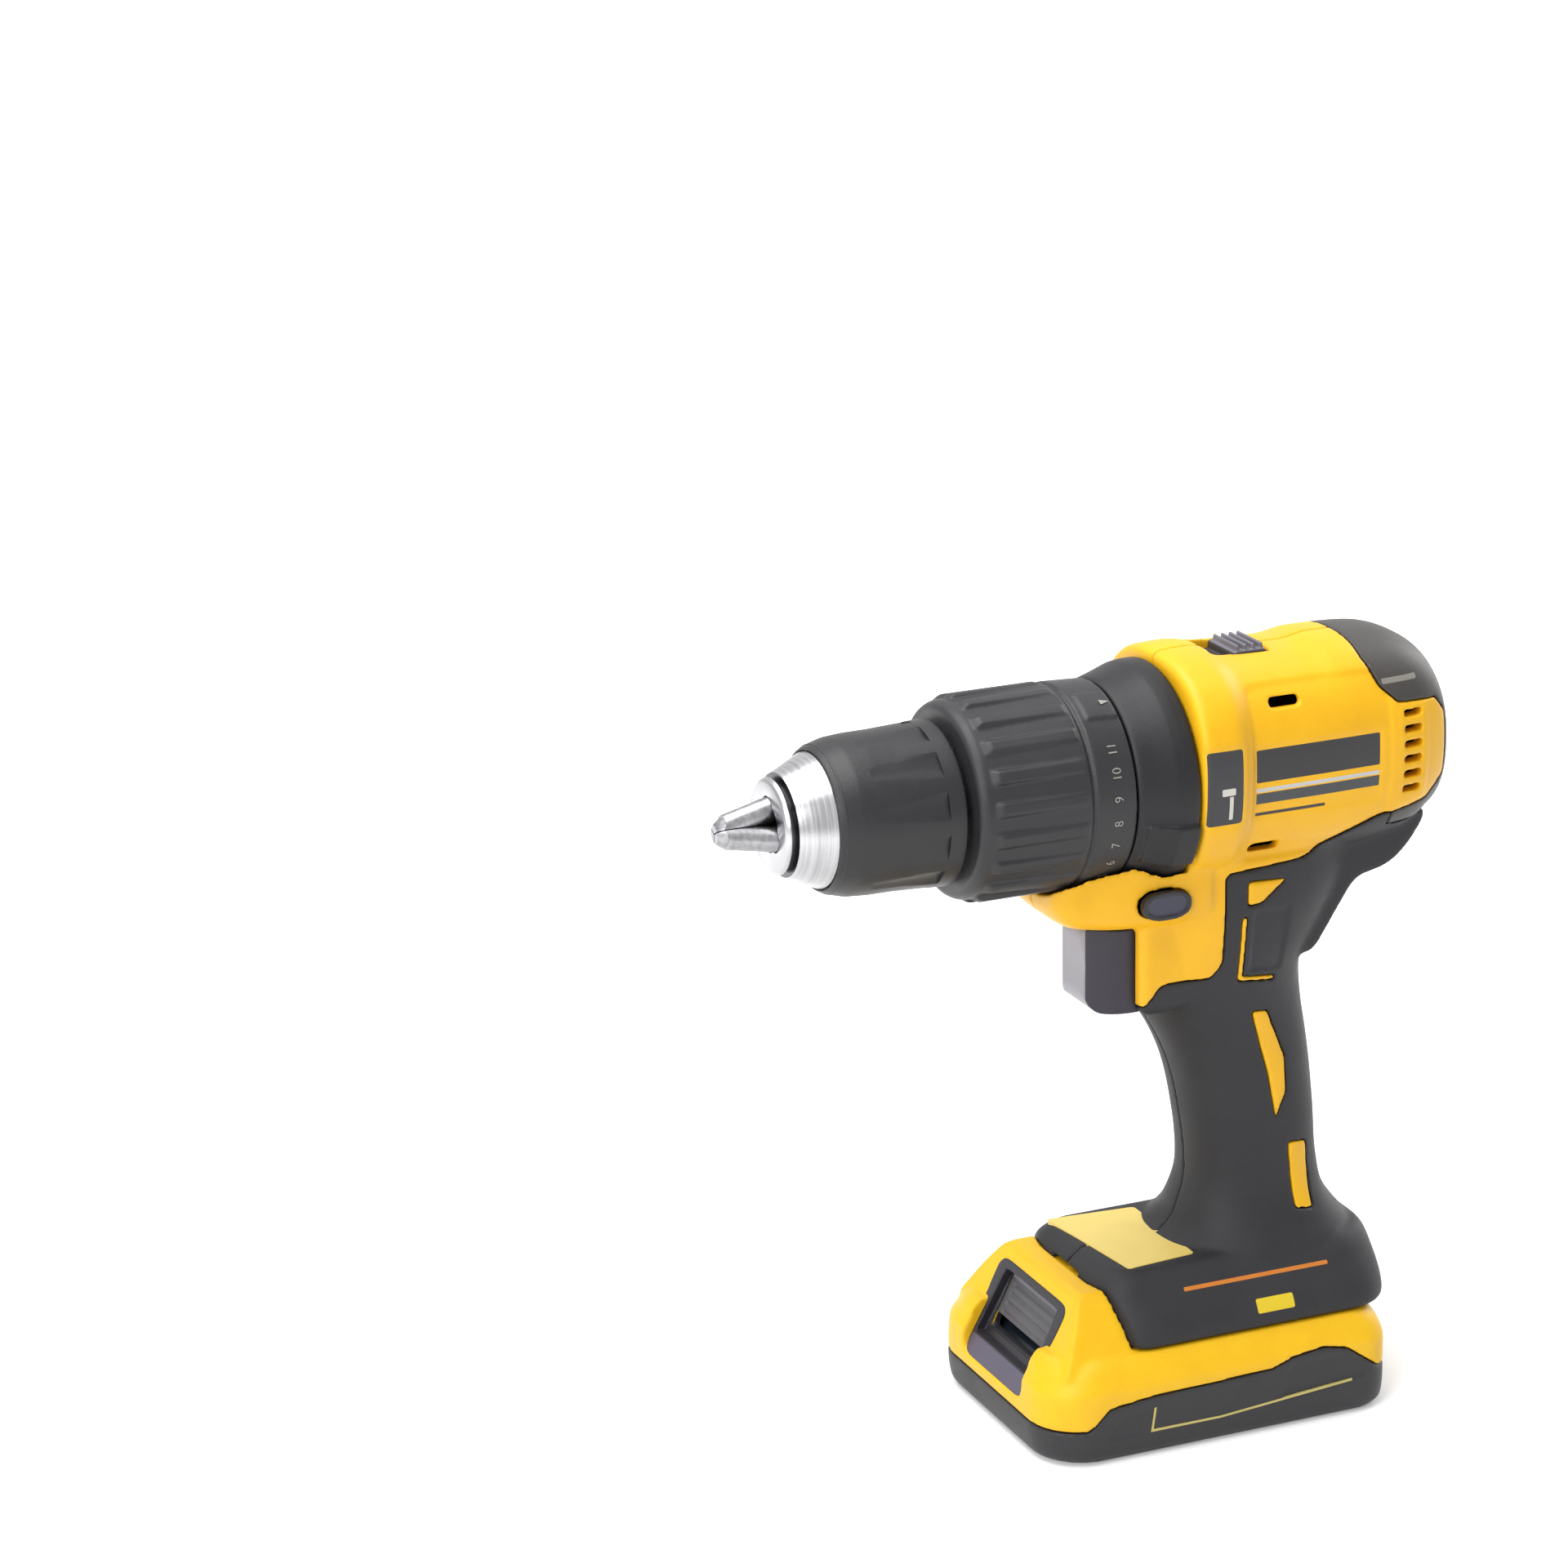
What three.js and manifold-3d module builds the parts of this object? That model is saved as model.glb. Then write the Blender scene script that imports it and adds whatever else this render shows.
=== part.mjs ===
// Cordless drill driver with a slide-on battery, as an assembly of its real pieces.
//
// Frame while modelling: +X runs from the chuck to the rear of the motor, +Z is up, Y = 0 is the
// parting plane of the clamshell, the spindle axis is the X axis and X = 0 is the front face of the
// clamshell. The finished group is moved so that the middle of its base is the origin.
// Millimetres.

import * as THREE from 'three';
import { mergeVertices } from 'three/addons/utils/BufferGeometryUtils.js';
import Module from 'manifold-3d';

const wasm = await Module();
wasm.setup();

// ---------------------------------------------------------------------------------------------
// Driving dimensions

const GAP = 0.3;                      // running and joint gap between neighbouring pieces
const WALL = 2.4;                     // wall of the moulded housing
const SKIN = 2.0;                     // thickness of the rubber overmould
const SPLIT_GAP = 0.3;                // parting line of the clamshell
const FAR = 250;                      // reach of a cutter that passes right through

const OUTER_SIDES = 16;               // facets round the outer forms of the clamshell
const INNER_SIDES = 8;                // and round its hollow
const BOW_SIDES = 96;

const SPINDLE_HEIGHT = 177;           // spindle axis above the underside of the battery

const CASE_RADIUS = 23.8;             // drum of the gear case
const CASE_WALL = 2.5;
const CASE_FRONT = -18;
const CASE_REAR = 16.7;
const NOSE_RADIUS = 15;               // nose tube of the gear case, which carries the clutch
const NOSE_WALL = 3.5;
const NOSE_FRONT = -59;

const BARREL_LENGTH = 80.1;           // front face of the clamshell to the rear of the cap
const BARREL_HALF_WIDTH = CASE_RADIUS + 7.2;      // across the front flange
const BARREL_TOP = BARREL_HALF_WIDTH + 1.6;       // front flange above the spindle axis
const BARREL_BOTTOM = BARREL_HALF_WIDTH - 3.5;    // front flange below the spindle axis
const FLANGE_LENGTH = 10;             // raised front band of the clamshell
const WAIST_STEP = 3;                 // how far the flanks step in behind that band
const RECESS_STEP = 1.6;              // how far the top dips for the speed selector

const CHIN_REACH = 35;                // nose of the clamshell under the torque collar
const CHIN_BOTTOM = CASE_RADIUS + 14.2;           // its underside below the spindle axis
const CHIN_HALF_WIDTH = 22;

const CHEEK_HALF_WIDTH = 17.3;        // cheeks of the trigger housing
const CHEEK_FRONT = -11.3;

const HANDLE_HALF_WIDTH = 16;
const HANDLE_EXPONENT = 2.4;

const RING_RIM = 2.37;                // ring gears, from the roots of the teeth outwards
const SUN_TEETH = 9;
const PLANET_TEETH = 15;
const RING_TEETH = SUN_TEETH + 2 * PLANET_TEETH;
const ROOT_DEPTH = 1.2;               // of a tooth below its pitch line, in modules
const TIP_HEIGHT = 0.95;              // and above it
const RING_RADIUS = CASE_RADIUS - CASE_WALL - GAP;
const GEAR_MODULE = (RING_RADIUS - RING_RIM) / (RING_TEETH / 2 + ROOT_DEPTH);
const PLANETS_PER_STAGE = 3;
const PLANET_PIN_RADIUS = 2;
const TOOTH_BACKLASH = 0.2;           // taken off the thickness of every tooth
const SUN_BACKLASH = 0.55;            // and off that of the small suns
const LUG_SPACING = 3;                // ring gear teeth from one locking lug to the next
const OUTPUT_STAGE_X = -8.7;          // front faces of the two planet sets
const OUTPUT_STAGE_WIDTH = 8.7;
const INPUT_STAGE_X = 5.5;
const INPUT_STAGE_WIDTH = 9;
const CARRIER_PLATE = 3;
const SHIFT_TRAVEL = 6;               // stroke of the speed selector and its ring gear
const SHIFT_RING_WIDTH = 7;

const FORK_WIDTH = 2;                 // fork that moves the sliding ring gear
const FORK_THICKNESS = 1.4;
const FORK_PIN = 3;
const FORK_GROOVE = 1.2;              // depth of the groove that its pins run in
const FORK_RADIUS = CASE_RADIUS + 2 * GAP;
const FORK_X = INPUT_STAGE_X + INPUT_STAGE_WIDTH - SHIFT_RING_WIDTH / 2 - FORK_WIDTH / 2;

const REAR_BEARING_X = BARREL_LENGTH - 16.1;
const REAR_BEARING_RADIUS = 5.5;
const REAR_BEARING_WIDTH = 4;
const FAN_X = REAR_BEARING_X - 9;
const FAN_WIDTH = 6;
const FAN_BLADES = 7;
const MOTOR_PLATE = 3;
const STATOR_RADIUS = CASE_RADIUS - 2.3;
const STATOR_FRONT = CASE_REAR + 8.3;
const STATOR_LENGTH = FAN_X - STATOR_FRONT - 8;
const STATOR_SLOTS = 6;
const ROTOR_RADIUS = STATOR_RADIUS - 10;
const FAN_RADIUS = STATOR_RADIUS - 2.5;
const AIR_GAP = 0.5;
const SHAFT_RADIUS = 2.5;

const COLLAR_FRONT = -60.8;           // torque collar
const COLLAR_REAR = CASE_FRONT + 0.7;
const COLLAR_RADIUS = CASE_RADIUS + 3.2;
const COLLAR_BAND_FRONT = COLLAR_REAR - 11.9;     // smooth band that carries the numbers
const COLLAR_RIBS = 20;
const COLLAR_RIB_DEPTH = 0.5;
const COLLAR_BORE = CASE_RADIUS - 1.2;

const MODE_FRONT = COLLAR_REAR + 0.4; // mode collar
const MODE_REAR = -0.5;
const MODE_RADIUS = CASE_RADIUS + 6.2;
const MODE_LUG_HEIGHT = 1.4;

const CLUTCH_TRAVEL = 4;
const CLUTCH_NUT_X = -50.5;
const CLUTCH_NUT_WIDTH = 4.5;
const CLUTCH_WASHER = 2;
const CLUTCH_KEYS = 3;                // keys on the nut that run in slots of the collar
const CLUTCH_KEY_HALF_WIDTH = 1.6;
const SPRING_WIRE_RADIUS = 1.2;
const SPRING_RADIUS = (NOSE_RADIUS + COLLAR_BORE) / 2;
const SPRING_TURNS = 4.5;

const SPINDLE_RADIUS = 6;
const SPINDLE_FRONT = -80;
const SPINDLE_BEARING_X = NOSE_FRONT + 5;
const SPINDLE_BEARING_WIDTH = 8;
const SPINDLE_FLAT = 1.5;             // depth of the flats that carry the output carrier

const JAW_TIP = -123.4;               // keyless three-jaw chuck
const JAW_COUNT = 3;
const JAW_RADIUS = 3.2;
const JAW_ANGLE = 14 * Math.PI / 180;
const JAW_TIP_OFFSET = 0.9;           // jaw axis off the spindle axis at the tip
const JAW_LENGTH = 32.5;
const SLEEVE_RADIUS = 21.2;
const SLEEVE_BORE = SLEEVE_RADIUS - 1.7;
const SLEEVE_REAR = -62.7;
const SLEEVE_FLUTES = 12;
const NOSE_RING_X = JAW_TIP + 14.6;   // front ring of the chuck body
const NOSE_RING_RADIUS = SLEEVE_RADIUS - 9.2;
const CONE_REAR = NOSE_RING_X + 11.9;
const CONE_RADIUS = SLEEVE_RADIUS - 3.5;
const CHUCK_NUT_WIDTH = 4;
const CHUCK_SHANK_RADIUS = 15;
const CHUCK_NUT_BORE = CHUCK_SHANK_RADIUS - 2.1;
const CHUCK_SCREW_RADIUS = 2.3;

const DIRECTION_X = -6.7;             // forward and reverse button
const DIRECTION_Z = -5.8 - CASE_RADIUS;
const DIRECTION_HALF_LENGTH = 7;
const DIRECTION_HALF_HEIGHT = 3.9;
const DIRECTION_TRAVEL = 3;
const DIRECTION_PROUD = 2.2;
const DIRECTION_CAP = 2.6;            // thickness of its two caps

const TRIGGER_FRONT = -23.2;
const TRIGGER_TOP = DIRECTION_Z - 8.8;
const TRIGGER_BOTTOM = TRIGGER_TOP - 23.4;
const TRIGGER_HALF_WIDTH = 12.7;
const TRIGGER_TRAVEL = 6.5;
const SWITCH_FRONT = 0.5;
const SWITCH_LENGTH = 22;
const SWITCH_TOP = TRIGGER_TOP + 3.4;
const SWITCH_HEIGHT = 24;
const SWITCH_HALF_WIDTH = TRIGGER_HALF_WIDTH - 1.7;
const STEM_HALF_WIDTH = 4;

const WORKLIGHT_X = -26;
const WORKLIGHT_RADIUS = 3;

const SELECTOR_X = 20;                // thumb pad of the speed selector
const SELECTOR_LENGTH = 10.4;
const SELECTOR_HALF_WIDTH = 7.5;
const SELECTOR_TOP = BARREL_TOP;
const SELECTOR_PLATE = 2;             // plate under the pad that keeps its slot covered
const SELECTOR_PLATE_TOP = BARREL_TOP - RECESS_STEP - WALL;
const SELECTOR_PLATE_X = SELECTOR_X - SHIFT_TRAVEL - 6;
const SELECTOR_PLATE_LENGTH = SELECTOR_LENGTH + 2 * SHIFT_TRAVEL + 7.5;
const SELECTOR_PLATE_HALF_WIDTH = SELECTOR_HALF_WIDTH + 1.2;

const CELL_RADIUS = 9.05;
const CELL_LENGTH = 65;
const CELL_COUNT = 5;
const CELL_PITCH = 2 * CELL_RADIUS + GAP;

const BATTERY_WALL = 2.2;
const BATTERY_BOTTOM = -SPINDLE_HEIGHT;
const BATTERY_REAR = 55;
const BATTERY_FRONT = BATTERY_REAR - (CELL_COUNT - 1) * CELL_PITCH - 2 * CELL_RADIUS - 10.8;
const BATTERY_HALF_WIDTH = CELL_LENGTH / 2 + 5;
const BATTERY_CORNER = 14;            // plan radius of the two front corners
const BATTERY_REAR_CORNER = 8;
const BATTERY_SEAM = BATTERY_BOTTOM + 10;         // joint between base and cover at the front
const BATTERY_SEAM_SIDE = BATTERY_BOTTOM + 17.7;  // the same joint along the flanks

const FOOT_BOTTOM = BATTERY_BOTTOM + 28;
const FOOT_TOP = FOOT_BOTTOM + 18;    // top face of the foot
const FOOT_FRONT = -22.5;             // its front corners
const FOOT_NOSE = 4;                  // how far the bowed front reaches before them
const FOOT_BOW_RADIUS = 76;           // radius of that bow in plan
const FOOT_REAR = BATTERY_REAR + 4.5;
const FOOT_HALF_WIDTH = BATTERY_HALF_WIDTH - 4.3;
const BATTERY_DECK = FOOT_BOTTOM - GAP;

const TOWER_TOP = FOOT_TOP - 5.6;     // battery tower and the pocket that it slides into
const TOWER_HEAD_BOTTOM = FOOT_BOTTOM + 3.3;
const TOWER_HALF_WIDTH = FOOT_HALF_WIDTH - 8.2;
const TOWER_TOP_HALF_WIDTH = TOWER_HALF_WIDTH - 6.5;
const TOWER_NECK_HALF_WIDTH = TOWER_HALF_WIDTH - 5;
const TOWER_FRONT = FOOT_FRONT - 17.5;
const POCKET_REAR = FOOT_REAR - 7.5;
const TOWER_REAR = POCKET_REAR - 14;
const TERMINAL_TIP = TOWER_REAR - 8;
const BLADES = [-12, -4, 4, 12];      // terminal blades, across the tower

const LATCH_X = FOOT_FRONT + 8.5;     // latch tongue on top of the tower
const LATCH_LENGTH = 5;
const LATCH_HALF_WIDTH = 7;
const LATCH_TOP = TOWER_TOP + 1.2;

const WINDOW_TOP = FOOT_TOP - 8.3;    // release window in the front block
const WINDOW_BOTTOM = BATTERY_SEAM + 3.6;
const WINDOW_HALF_WIDTH = 18.2;
const WINDOW_DEPTH = 3.4;

const RELEASE_TRAVEL = 3.5;           // release slider: a pad, a plate behind it and an arm
const RELEASE_HALF_WIDTH = 14.8;
const RELEASE_X = FOOT_FRONT - 10;
const RELEASE_PLATE = 2.5;
const RELEASE_ARM_TOP = TOWER_TOP - 2.6;
const RELEASE_BOTTOM = RELEASE_ARM_TOP - 10.8;
const PAD_TOP = WINDOW_TOP - 2;
const PAD_BOTTOM = PAD_TOP - 11.2;
const PAD_PROUD = 2.6;

const SCREW_RADIUS = 1.5;             // clamshell screws, driven in from the right-hand side
const SCREW_HEAD_RADIUS = 3;
const SCREW_HEAD_HEIGHT = 2.2;
const SCREW_DRIVE_RADIUS = 1.3;
const SCREW_REACH = 10;
const BOSS_RADIUS = 3.6;
const SCREWS = [
  { name: 'screw_top', x: 41.5, z: BARREL_TOP - 7.2, seat: 14 },
  { name: 'screw_front', x: 9, z: DIRECTION_Z, seat: 13 },
  { name: 'screw_rear', x: 38, z: DIRECTION_Z + 0.6, seat: 13 },
  { name: 'screw_handle', x: 15, z: -80, seat: 9 },
  { name: 'screw_base', x: 28, z: FOOT_TOP + 8, seat: 11 },
];

const COLOUR = {
  housing: 0xf5b70f,
  rubber: 0x2b2b2e,
  plastic: 0x26262b,
  steel: 0xc9cbcf,
  darkSteel: 0x6d7076,
  copper: 0xb9683a,
  board: 0x1e5b3a,
  cell: 0x2f6fb3,
  lens: 0xe8eef2,
};

// ---------------------------------------------------------------------------------------------
// Helpers

/** A closed three.js geometry as a solid, facing outwards. */
function solid(geometry) {
  const bare = geometry.clone();
  bare.deleteAttribute('normal');
  bare.deleteAttribute('uv');
  const merged = mergeVertices(bare, 1e-4);
  const points = merged.getAttribute('position').array;
  const index = merged.index.array;
  const kept = [];
  let volume = 0;
  for (let i = 0; i < index.length; i += 3) {
    const [a, b, c] = [index[i], index[i + 1], index[i + 2]];
    if (a === b || b === c || c === a) continue;
    kept.push(a, b, c);
    const [p, q, r] = [a, b, c].map((v) => new THREE.Vector3().fromArray(points, 3 * v));
    volume += p.dot(q.cross(r));
  }
  if (volume < 0) kept.reverse();
  return new wasm.Manifold(new wasm.Mesh({
    numProp: 3,
    vertProperties: new Float32Array(points),
    triVerts: new Uint32Array(kept),
  }));
}

/** A solid back as a three.js geometry. */
function geometryOf(body) {
  const mesh = body.getMesh();
  const geometry = new THREE.BufferGeometry();
  geometry.setAttribute('position', new THREE.BufferAttribute(new Float32Array(mesh.vertProperties), 3));
  geometry.setIndex(new THREE.BufferAttribute(new Uint32Array(mesh.triVerts), 1));
  geometry.computeVertexNormals();
  return geometry;
}

function union(...bodies) {
  return bodies.reduce((sum, body) => sum.add(body));
}

function box(x0, x1, y0, y1, z0, z1) {
  const geometry = new THREE.BoxGeometry(x1 - x0, y1 - y0, z1 - z0);
  geometry.translate((x0 + x1) / 2, (y0 + y1) / 2, (z0 + z1) / 2);
  return solid(geometry);
}

/** A rod along X, centred on (y, z). */
function rodX(radius, x0, x1, y = 0, z = 0, sides = 24) {
  const geometry = new THREE.CylinderGeometry(radius, radius, x1 - x0, sides);
  geometry.rotateZ(Math.PI / 2);
  geometry.translate((x0 + x1) / 2, y, z);
  return solid(geometry);
}

/** A rod along Y, centred on (x, z). */
function rodY(radius, y0, y1, x, z, sides = 16) {
  const geometry = new THREE.CylinderGeometry(radius, radius, y1 - y0, sides);
  geometry.translate(x, (y0 + y1) / 2, z);
  return solid(geometry);
}

/** A rod along Z, centred on (x, y). */
function rodZ(radius, z0, z1, x, y = 0, sides = 24) {
  const geometry = new THREE.CylinderGeometry(radius, radius, z1 - z0, sides);
  geometry.rotateX(Math.PI / 2);
  geometry.translate(x, y, (z0 + z1) / 2);
  return solid(geometry);
}

function ringX(outer, inner, x0, x1, sides = 24) {
  return rodX(outer, x0, x1, 0, 0, sides).subtract(rodX(inner, x0 - 1, x1 + 1, 0, 0, sides));
}

/** A solid turned about the X axis from a closed outline of [x, radius] points. */
function turned(outline, sides = 24) {
  const points = outline.map(([x, radius]) => new THREE.Vector2(Math.max(radius, 0), x));
  if (outline.some(([, radius]) => radius > 0) && !outline.some(([, radius]) => radius === 0)) {
    points.push(points[0].clone());
  }
  const geometry = new THREE.LatheGeometry(points, sides);
  geometry.rotateZ(-Math.PI / 2);
  return solid(geometry);
}

function shapeOf(points) {
  return new THREE.Shape(points.map(([x, y]) => new THREE.Vector2(x, y)));
}

/** The outline with every corner rounded, by up to the given radius. */
function rounded(points, radius, steps = 3) {
  const corners = points.map(([x, y]) => new THREE.Vector2(x, y));
  const outline = [];
  corners.forEach((corner, i) => {
    const before = corners[(i + corners.length - 1) % corners.length];
    const after = corners[(i + 1) % corners.length];
    const reach = Math.min(radius, corner.distanceTo(before) / 2.1, corner.distanceTo(after) / 2.1);
    const start = corner.clone().lerp(before, reach / corner.distanceTo(before));
    const end = corner.clone().lerp(after, reach / corner.distanceTo(after));
    const bend = new THREE.QuadraticBezierCurve(start, corner, end);
    bend.getPoints(steps).forEach((p) => outline.push([p.x, p.y]));
  });
  return outline;
}

/** The outline moved outwards by a distance, or inwards where it is negative. */
function offset(points, distance) {
  const turn = THREE.ShapeUtils.area(points.map(([x, y]) => new THREE.Vector2(x, y))) > 0 ? 1 : -1;
  return points.map(([x, y], i) => {
    const [px, py] = points[(i + points.length - 1) % points.length];
    const [nx, ny] = points[(i + 1) % points.length];
    const into = new THREE.Vector2(x - px, y - py).normalize();
    const out = new THREE.Vector2(nx - x, ny - y).normalize();
    const normal = new THREE.Vector2(into.y + out.y, -into.x - out.x).normalize();
    const stretch = Math.max(0.5, normal.x * into.y - normal.y * into.x);
    return [x + turn * distance * normal.x / stretch, y + turn * distance * normal.y / stretch];
  });
}

/** A side outline of [x, z] points, extruded across Y. */
function sidePrism(points, y0, y1) {
  const geometry = new THREE.ExtrudeGeometry(shapeOf(points), { depth: y1 - y0, bevelEnabled: false });
  geometry.rotateX(Math.PI / 2);
  geometry.translate(0, y1, 0);
  return solid(geometry);
}

/** A front outline of [y, z] points, extruded along X. */
function frontPrism(points, x0, x1) {
  const geometry = new THREE.ExtrudeGeometry(shapeOf(points), { depth: x1 - x0, bevelEnabled: false });
  geometry.rotateX(Math.PI / 2);
  geometry.rotateZ(Math.PI / 2);
  geometry.translate(x0, 0, 0);
  return solid(geometry);
}

/** A plan outline of [x, y] points, extruded along Z. */
function planPrism(points, z0, z1) {
  const geometry = new THREE.ExtrudeGeometry(shapeOf(points), { depth: z1 - z0, bevelEnabled: false });
  geometry.translate(0, 0, z0);
  return solid(geometry);
}

/** A closed solid through rings of equally many points, with flat ends. */
function loft(rings) {
  const count = rings[0].length;
  const points = rings.flat();
  const triangles = [];
  for (let i = 0; i + 1 < rings.length; i += 1) {
    for (let j = 0; j < count; j += 1) {
      const a = i * count + j;
      const b = i * count + (j + 1) % count;
      triangles.push(a, b, a + count, b, b + count, a + count);
    }
  }
  [0, rings.length - 1].forEach((end) => {
    const centre = new THREE.Vector3();
    rings[end].forEach((p) => centre.addScaledVector(p, 1 / count));
    points.push(centre);
    const middle = points.length - 1;
    for (let j = 0; j < count; j += 1) {
      const a = end * count + j;
      const b = end * count + (j + 1) % count;
      triangles.push(...(end === 0 ? [middle, b, a] : [middle, a, b]));
    }
  });
  const geometry = new THREE.BufferGeometry().setFromPoints(points);
  geometry.setIndex(triangles);
  return solid(geometry);
}

/** Points of a superellipse, as [u, v] pairs about the origin. */
function superellipse(halfU, halfV, exponent, count) {
  const power = 2 / exponent;
  return Array.from({ length: count }, (_, i) => {
    const angle = (2 * Math.PI * (i + 0.5)) / count;
    const [c, s] = [Math.cos(angle), Math.sin(angle)];
    return [
      halfU * Math.sign(c) * Math.abs(c) ** power,
      halfV * Math.sign(s) * Math.abs(s) ** power,
    ];
  });
}

/** A loft along X through stations of [x, half width, top, bottom]. */
function loftX(stations, exponent, count) {
  return loft(stations.map(([x, halfWidth, top, bottom]) =>
    superellipse(halfWidth, (top - bottom) / 2, exponent, count)
      .map(([y, z]) => new THREE.Vector3(x, y, z + (top + bottom) / 2))));
}

/** A loft along Z through stations of [z, front, rear, half width]. */
function loftZ(stations, exponent, count) {
  return loft(stations.map(([z, front, rear, halfWidth]) =>
    superellipse((rear - front) / 2, halfWidth, exponent, count)
      .map(([x, y]) => new THREE.Vector3(x + (rear + front) / 2, y, z))));
}

/** A rounded rectangle in plan, with its own radius at the front and at the rear. */
function planRing(front, rear, halfWidth, frontRadius, rearRadius, steps = 3) {
  const corners = [
    [front + frontRadius, -halfWidth + frontRadius, frontRadius, Math.PI],
    [rear - rearRadius, -halfWidth + rearRadius, rearRadius, 1.5 * Math.PI],
    [rear - rearRadius, halfWidth - rearRadius, rearRadius, 0],
    [front + frontRadius, halfWidth - frontRadius, frontRadius, 0.5 * Math.PI],
  ];
  return corners.flatMap(([x, y, radius, from]) => Array.from({ length: steps + 1 }, (_, i) => {
    const angle = from + (i / steps) * Math.PI / 2;
    return [x + radius * Math.cos(angle), y + radius * Math.sin(angle)];
  }));
}

/** A loft along Z through stations of [z, front, rear, half width, front radius, rear radius]. */
function loftPlan(stations, steps = 3) {
  return loft(stations.map(([z, ...plan]) =>
    planRing(...plan, steps).map(([x, y]) => new THREE.Vector3(x, y, z))));
}

/** The body turned about the X axis by an angle in radians. */
function spun(body, angle) {
  return body.rotate([angle * 180 / Math.PI, 0, 0]);
}

/** Equally spaced copies of a body about the X axis, the first turned by a share of the pitch. */
function around(body, count, share = 0) {
  return Array.from({ length: count }, (_, i) => spun(body, (i + share) * 2 * Math.PI / count));
}

// ---------------------------------------------------------------------------------------------
// Assembly

const drill = new THREE.Group();

function material(name) {
  const metal = ['steel', 'darkSteel', 'copper'].includes(name);
  return new THREE.MeshStandardMaterial({
    color: COLOUR[name],
    roughness: metal ? 0.35 : 0.6,
    metalness: metal ? 0.9 : 0,
  });
}

function add(name, body, look) {
  const mesh = new THREE.Mesh(geometryOf(body), material(look));
  mesh.name = name;
  drill.add(mesh);
}

// ---------------------------------------------------------------------------------------------
// Outer forms of the clamshell, each drawn at its surface or set in by a given depth

/** Motor barrel: a flange at the front, a waist, a hump and a domed rear end. */
function barrel(inset) {
  const waist = BARREL_HALF_WIDTH - WAIST_STEP;
  const dip = BARREL_TOP - RECESS_STEP;
  const stations = [
    [0, BARREL_HALF_WIDTH - 1.3, BARREL_TOP - 1.7, 1.2 - BARREL_BOTTOM],
    [1.5, BARREL_HALF_WIDTH, BARREL_TOP - 0.4, -BARREL_BOTTOM],
    [FLANGE_LENGTH, BARREL_HALF_WIDTH, BARREL_TOP, -BARREL_BOTTOM],
    [FLANGE_LENGTH + 6, waist, dip + 0.8, 0.6 - BARREL_BOTTOM],
    [BARREL_LENGTH - 43.1, waist - 0.2, dip, 1 - BARREL_BOTTOM],
    [BARREL_LENGTH - 34.1, waist - 0.4, BARREL_TOP - 0.3, 1.5 - BARREL_BOTTOM],
    [BARREL_LENGTH - 22.1, waist - 1, BARREL_TOP - 0.5, 2.5 - BARREL_BOTTOM],
    [BARREL_LENGTH - 8.1, waist - 4, BARREL_TOP - 4, 7 - BARREL_BOTTOM],
    [BARREL_LENGTH - 2, waist - 9.5, BARREL_TOP - 12.6, 13 - BARREL_BOTTOM],
    [BARREL_LENGTH, waist - 14, BARREL_TOP - 18.6, 18 - BARREL_BOTTOM],
  ];
  return loftX(stations.map(([x, halfWidth, top, bottom]) => [
    Math.min(Math.max(x, inset), BARREL_LENGTH - inset - (BARREL_LENGTH - x) * 0.1),
    Math.max(halfWidth - inset, 1),
    top - inset,
    bottom + inset,
  ]), 2.5, inset > 0 ? INNER_SIDES : OUTER_SIDES);
}

/** Nose of the trigger housing, reaching forward under the collars. */
function chin(inset) {
  const w = CHIN_HALF_WIDTH;
  const stations = [
    [-CHIN_REACH, w - 9.5, -17, 7 - CHIN_BOTTOM],
    [2 - CHIN_REACH, w - 6.5, -14.5, 4 - CHIN_BOTTOM],
    [10 - CHIN_REACH, w - 4, -12, 1 - CHIN_BOTTOM],
    [25 - CHIN_REACH, w - 1, -9, -CHIN_BOTTOM],
    [42 - CHIN_REACH, w, -9, -CHIN_BOTTOM],
  ];
  return loftX(stations.map(([x, halfWidth, top, bottom]) => [
    Math.max(x, inset - CHIN_REACH + (x + CHIN_REACH) * 0.2),
    halfWidth - inset,
    top,
    bottom + inset,
  ]), 5, inset > 0 ? INNER_SIDES : OUTER_SIDES);
}

/** Trigger housing and handle. */
function handle(inset) {
  const w = HANDLE_HALF_WIDTH;
  const stations = [
    [-20, -14, 56, w + 5.5],
    [-32, -14, 54, w + 5.5],
    [-46, -11, 46.5, w + 4.2],
    [-56, -11, 42, w + 2.5],
    [-66, -3, 42.8, w + 0.7],
    [-76, 2.8, 44.5, w],
    [FOOT_TOP + 33, 9, 47, w],
    [FOOT_TOP + 18, 10.5, 48.1, w + 0.5],
    [FOOT_TOP + 9, 8.6, 50.2, w + 2.6],
    [FOOT_TOP + 3.5, 6, 54, w + 5.6],
    [FOOT_TOP + 0.4, 2.5, 56.5, w + 7.5],
    [FOOT_TOP - 3, -2, 57.5, w + 8.5],
  ];
  return loftZ(stations.map(([z, front, rear, halfWidth]) => [
    z,
    front + inset,
    rear - inset,
    halfWidth - inset,
  ]), HANDLE_EXPONENT, inset > 0 ? INNER_SIDES : OUTER_SIDES);
}

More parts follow.
